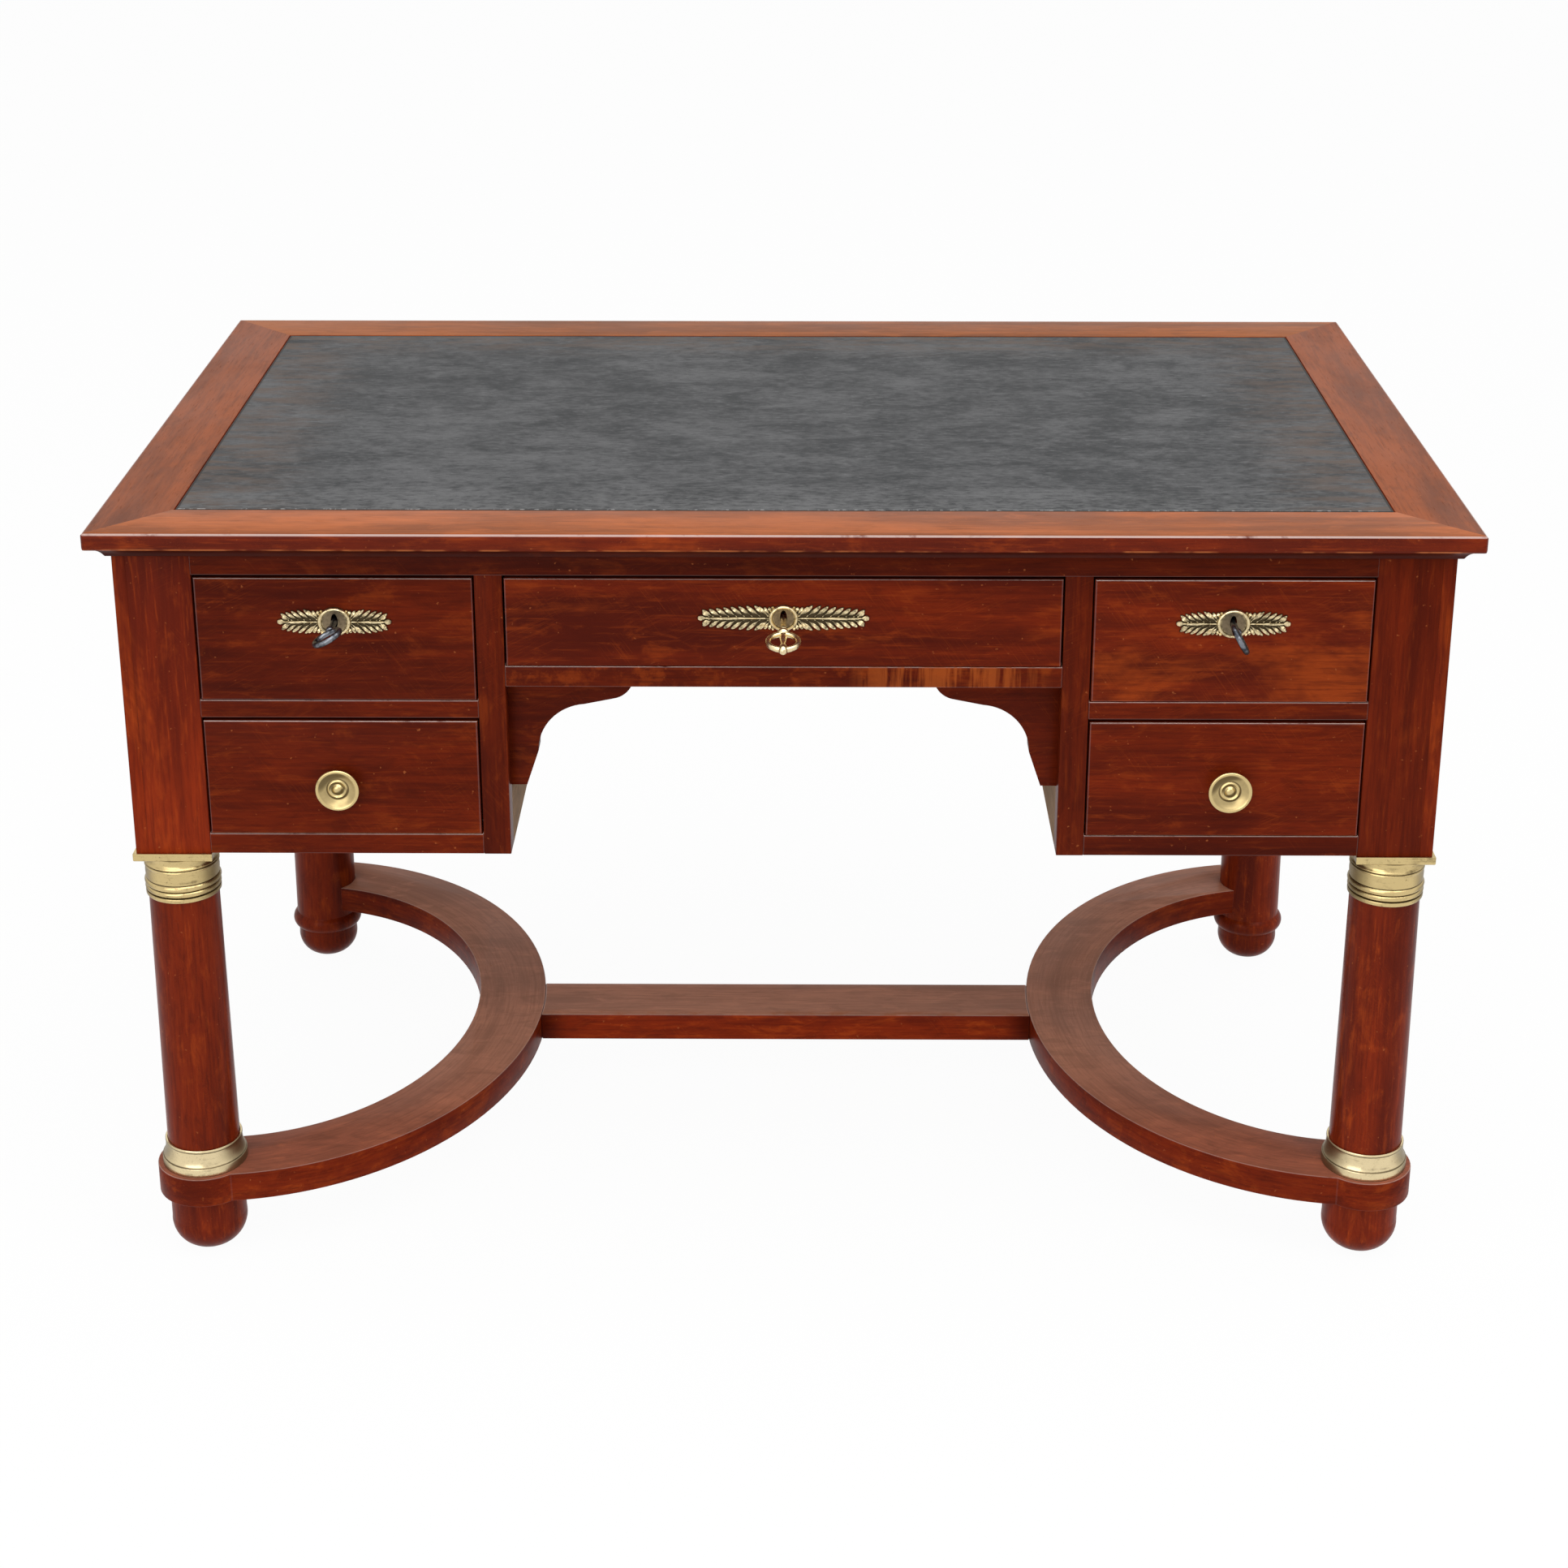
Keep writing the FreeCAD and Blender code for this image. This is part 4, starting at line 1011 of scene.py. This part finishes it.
class DESK_OT_escutcheons(bpy.types.Operator):
    """Model the leaf escutcheons: paired leaflets on a midrib each side of a ring"""
    bl_idname = "desk.escutcheons"
    bl_label = "Escutcheons"

    # Half height of the leaf, pairs of leaflets on each side, and half width and height of the ring
    SIDE_LEAF = (11.6, 5, (13.4, 12.2))
    CENTRE_LEAF = (11.8, 8, (11.6, 10.9))
    # Short leaflets by the ring: how far from its edge, how high, their lean in degrees, their length
    RING_LEAFLETS = ((-3, 6.8, 8, 4.8), (-1.4, 4.2, 20, 7.2), (-0.2, 2.2, 33, 10.4), (0.5, 0.9, 43, 14.2))

    def execute(self, context):
        leaflet = self.leaflet()
        for word in LOCKS:
            node = f"escutcheon_{word}"
            low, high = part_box(node)
            place = middle(node)
            place.y = high[1]
            reach = (high[0] - low[0]) / 2 / MM
            rise, pairs, ring = self.CENTRE_LEAF if word == "centre" else self.SIDE_LEAF
            pieces = [self.turned("ring", RING_PROFILE, ring, ring[0]), self.dish(ring)]
            pieces.append(self.back_plate(reach, rise))
            pieces += self.wings(leaflet, reach, rise, pairs, ring[0])
            brass = leaf_brass(f"{node}_brass", place, ring)
            install(node, "leaf", pieces, brass, Matrix.Translation(place))
        remove(leaflet)
        return {"FINISHED"}

    def leaflet(self):
        """One leaflet a millimetre long, standing on its root, flat behind and hollowed in front."""
        bpy.ops.mesh.primitive_uv_sphere_add(segments=16, ring_count=10, radius=0.5 * MM)
        piece = new_piece("leaflet")
        bpy.ops.transform.translate(value=(0, 0, 0.5 * MM))
        select_parts(piece, "VERT", lambda vert: vert.co.z < 0.42 * MM)
        bpy.ops.transform.resize(value=(0.6, 1, 1), center_override=(0, 0, 0))
        select_parts(piece, "VERT", lambda vert: 0.6 * MM < vert.co.z < 0.99 * MM)
        bpy.ops.transform.resize(value=(1.35, 1.15, 1), center_override=(0, 0, 0))
        select_parts(piece, "VERT", lambda vert: abs(vert.co.x) < 0.22 * MM and vert.co.y < 0
                     and 0.14 * MM < vert.co.z < 0.88 * MM)
        bpy.ops.transform.translate(value=(0, 0.22 * MM, 0))
        bpy.ops.mesh.select_all(action="SELECT")
        bpy.ops.mesh.bisect(plane_no=(0, 1, 0), use_fill=True, clear_outer=True)
        close_up()
        return piece

    def wings(self, leaflet, reach, rise, pairs, ring):
        """Paired leaflets along a midrib, a bud of three at the tip and short leaflets against the ring."""
        start = ring + 0.6
        run = reach - start - 9
        pieces = []

        def add(way, turn, root_x, root_z, lean, long, wide, thick, up):
            """A leaflet rooted on the plate, leaning by degrees from the upright to the wing's tip."""
            angle = way * radians(lean)
            twin = copied(leaflet)
            root = Matrix.Translation(Vector((way * root_x, -0.5 - up, turn * root_z)) * MM)
            lie = Matrix.Rotation(angle if turn > 0 else pi - angle, 4, "Y")
            set_down(twin, root @ lie @ Matrix.Diagonal((wide, thick, long, 1)))
            pieces.append(twin)

        for way in (-1, 1):
            for turn in (-1, 1):
                for index in range(pairs):
                    share = (index + 0.5) / pairs
                    lean = 50 + 8 * share
                    long = 0.98 * rise * (1 - 0.42 * share ** 1.6) / cos(radians(lean))
                    add(way, turn, start + run * share - 3, 0.6, lean, long,
                        wide=0.47 * run / pairs, thick=4.8, up=0)
                for root_x, root_z, lean, long in self.RING_LEAFLETS:
                    add(way, turn, start + root_x, root_z, lean, long, wide=2.7, thick=5, up=0.2)
                add(way, turn, reach - 11.5, 0.6, lean=50, long=8.8, wide=3.6, thick=4.6, up=0.2)
            add(way, 1, reach - 9.6, 0, lean=90, long=9.6, wide=4.6, thick=4.8, up=0.3)
            add(way, 1, ring - 1, 0, lean=90, long=reach - ring - 4, wide=2, thick=3.6, up=1.3)
        return pieces

    def back_plate(self, reach, rise):
        bpy.ops.mesh.primitive_circle_add(vertices=48, radius=MM, fill_type="NGON",
                                          rotation=(radians(90), 0, 0))
        piece = new_piece("back_plate")
        bpy.ops.mesh.extrude_region_move(TRANSFORM_OT_translate={"value": (0, -0.7 * MM, 0)})
        edit(False)
        set_down(piece, Matrix.Diagonal((reach - 3, 1, rise * 0.72, 1)) @ piece.matrix_world)
        self.cut_slot(piece)
        return piece

    def turned(self, name, profile, radii, middle=0):
        """A lathed piece that faces the front, pressed to the oval of the ring."""
        piece = lathe(name, profile, middle=middle)
        set_down(piece, FACING @ Matrix.Diagonal((1, radii[1] / radii[0], 1, 1)))
        return piece

    def dish(self, radii):
        """The floor inside the ring, hollowed a little, with the key's slot through it."""
        edge = radii[0] - 0.9
        profile = [(edge, 0.2), (edge, 1.9), (0.86 * edge, 1.5), (0.6 * edge, 1), (0, 0.8), (0, 0.2)]
        piece = self.turned("dish", profile, radii)
        self.cut_slot(piece)
        return piece

    def cut_slot(self, piece):
        """Cut the key's slot, an upright oval, through a piece."""
        bpy.ops.mesh.primitive_cylinder_add(vertices=32, radius=4.4 * MM, depth=20 * MM,
                                            rotation=(radians(90), 0, 0))
        cutter = new_piece("slot_cutter")
        edit(False)
        set_down(cutter, Matrix.Diagonal((0.72, 1, 1.7, 1)) @ cutter.matrix_world)
        modifier = piece.modifiers.new("slot", "BOOLEAN")
        modifier.operation = "DIFFERENCE"
        modifier.object = cutter
        pick(piece)
        bpy.ops.object.modifier_apply(modifier=modifier.name)
        remove(cutter)


class DESK_OT_keys(bpy.types.Operator):
    """Model the keys and finish the locks and bolts"""
    bl_idname = "desk.keys"
    bl_label = "Keys and locks"

    def execute(self, context):
        steel = grey_steel("key_steel")
        brass = aged_brass("key_brass", dark_share=0, gloss=0.26, pale=True)
        for word in LOCKS:
            paint(f"lock_{word}", steel)
            paint(f"bolt_{word}", steel)
        round_bow = hoop("bow", 12.4, 2.7)
        set_down(round_bow, Matrix.Translation((0, 0, 46.8 * MM)))
        wide_bow = hoop("bow", 13.6, 2.6)
        oval = Matrix.Diagonal((1, 1.05, 0.94, 1))
        set_down(wide_bow, Matrix.Translation((0, 0, 44 * MM)) @ oval)
        self.key("left", SIDE_KEY_PROFILE, round_bow, steel, turn=27)
        self.key("right", SIDE_KEY_PROFILE, round_bow, steel, turn=-60)
        self.key("centre", CENTRE_KEY_PROFILE, wide_bow, brass, droop=12)
        remove(round_bow, wide_bow)
        return {"FINISHED"}

    def key(self, word, profile, bow, material, turn=0, droop=0):
        """A key with its stem on its joint, turned and drooping by degrees."""
        joint = next(joint for joint in frame["joints"] if joint["name"] == f"key_{word}_turn")
        lie = Matrix.Rotation(radians(90 + droop), 4, "X")
        spin = Matrix.Rotation(radians(turn), 4, "Z")
        install(f"key_{word}", "forged", [lathe("stem", profile, 24), copied(bow), self.bit()], material,
                Matrix.Translation(joint["pos_m"]) @ lie @ spin)

    def bit(self):
        bpy.ops.mesh.primitive_cube_add(size=MM, location=(0, -3.4 * MM, -9.6 * MM), scale=(2.4, 6.8, 5))
        piece = new_piece("bit")
        bpy.ops.mesh.bevel(offset=0.4 * MM, segments=2)
        edit(False)
        set_down(piece, piece.matrix_world)
        return piece


PIECES = (DESK_OT_stage, DESK_OT_top_border, DESK_OT_case, DESK_OT_drawer_fronts, DESK_OT_inside,
          DESK_OT_legs, DESK_OT_leather, DESK_OT_mounts, DESK_OT_knobs, DESK_OT_escutcheons, DESK_OT_keys)


class DESK_PT_panel(bpy.types.Panel):
    """Lists the desk's pieces"""
    bl_idname = "DESK_PT_panel"
    bl_label = "Flat desk"
    bl_space_type = "VIEW_3D"
    bl_region_type = "UI"
    bl_category = "Desk"

    def draw(self, context):
        for piece in PIECES:
            self.layout.operator(piece.bl_idname)


GROUPS = {"desk_finishes": DeskFinishes, "desk_sizes": DeskSizes, "desk_stage": DeskStage}


def register():
    for item in (*GROUPS.values(), *PIECES, DESK_PT_panel):
        bpy.utils.register_class(item)
    for name, group in GROUPS.items():
        setattr(bpy.types.Scene, name, PointerProperty(type=group))


def unregister():
    for name in GROUPS:
        delattr(bpy.types.Scene, name)
    for item in (DESK_PT_panel, *PIECES, *GROUPS.values()):
        bpy.utils.unregister_class(item)


def main():
    register()
    for piece in PIECES:
        family, name = piece.bl_idname.split(".")
        getattr(getattr(bpy.ops, family), name)()


if __name__ == "__main__":
    main()
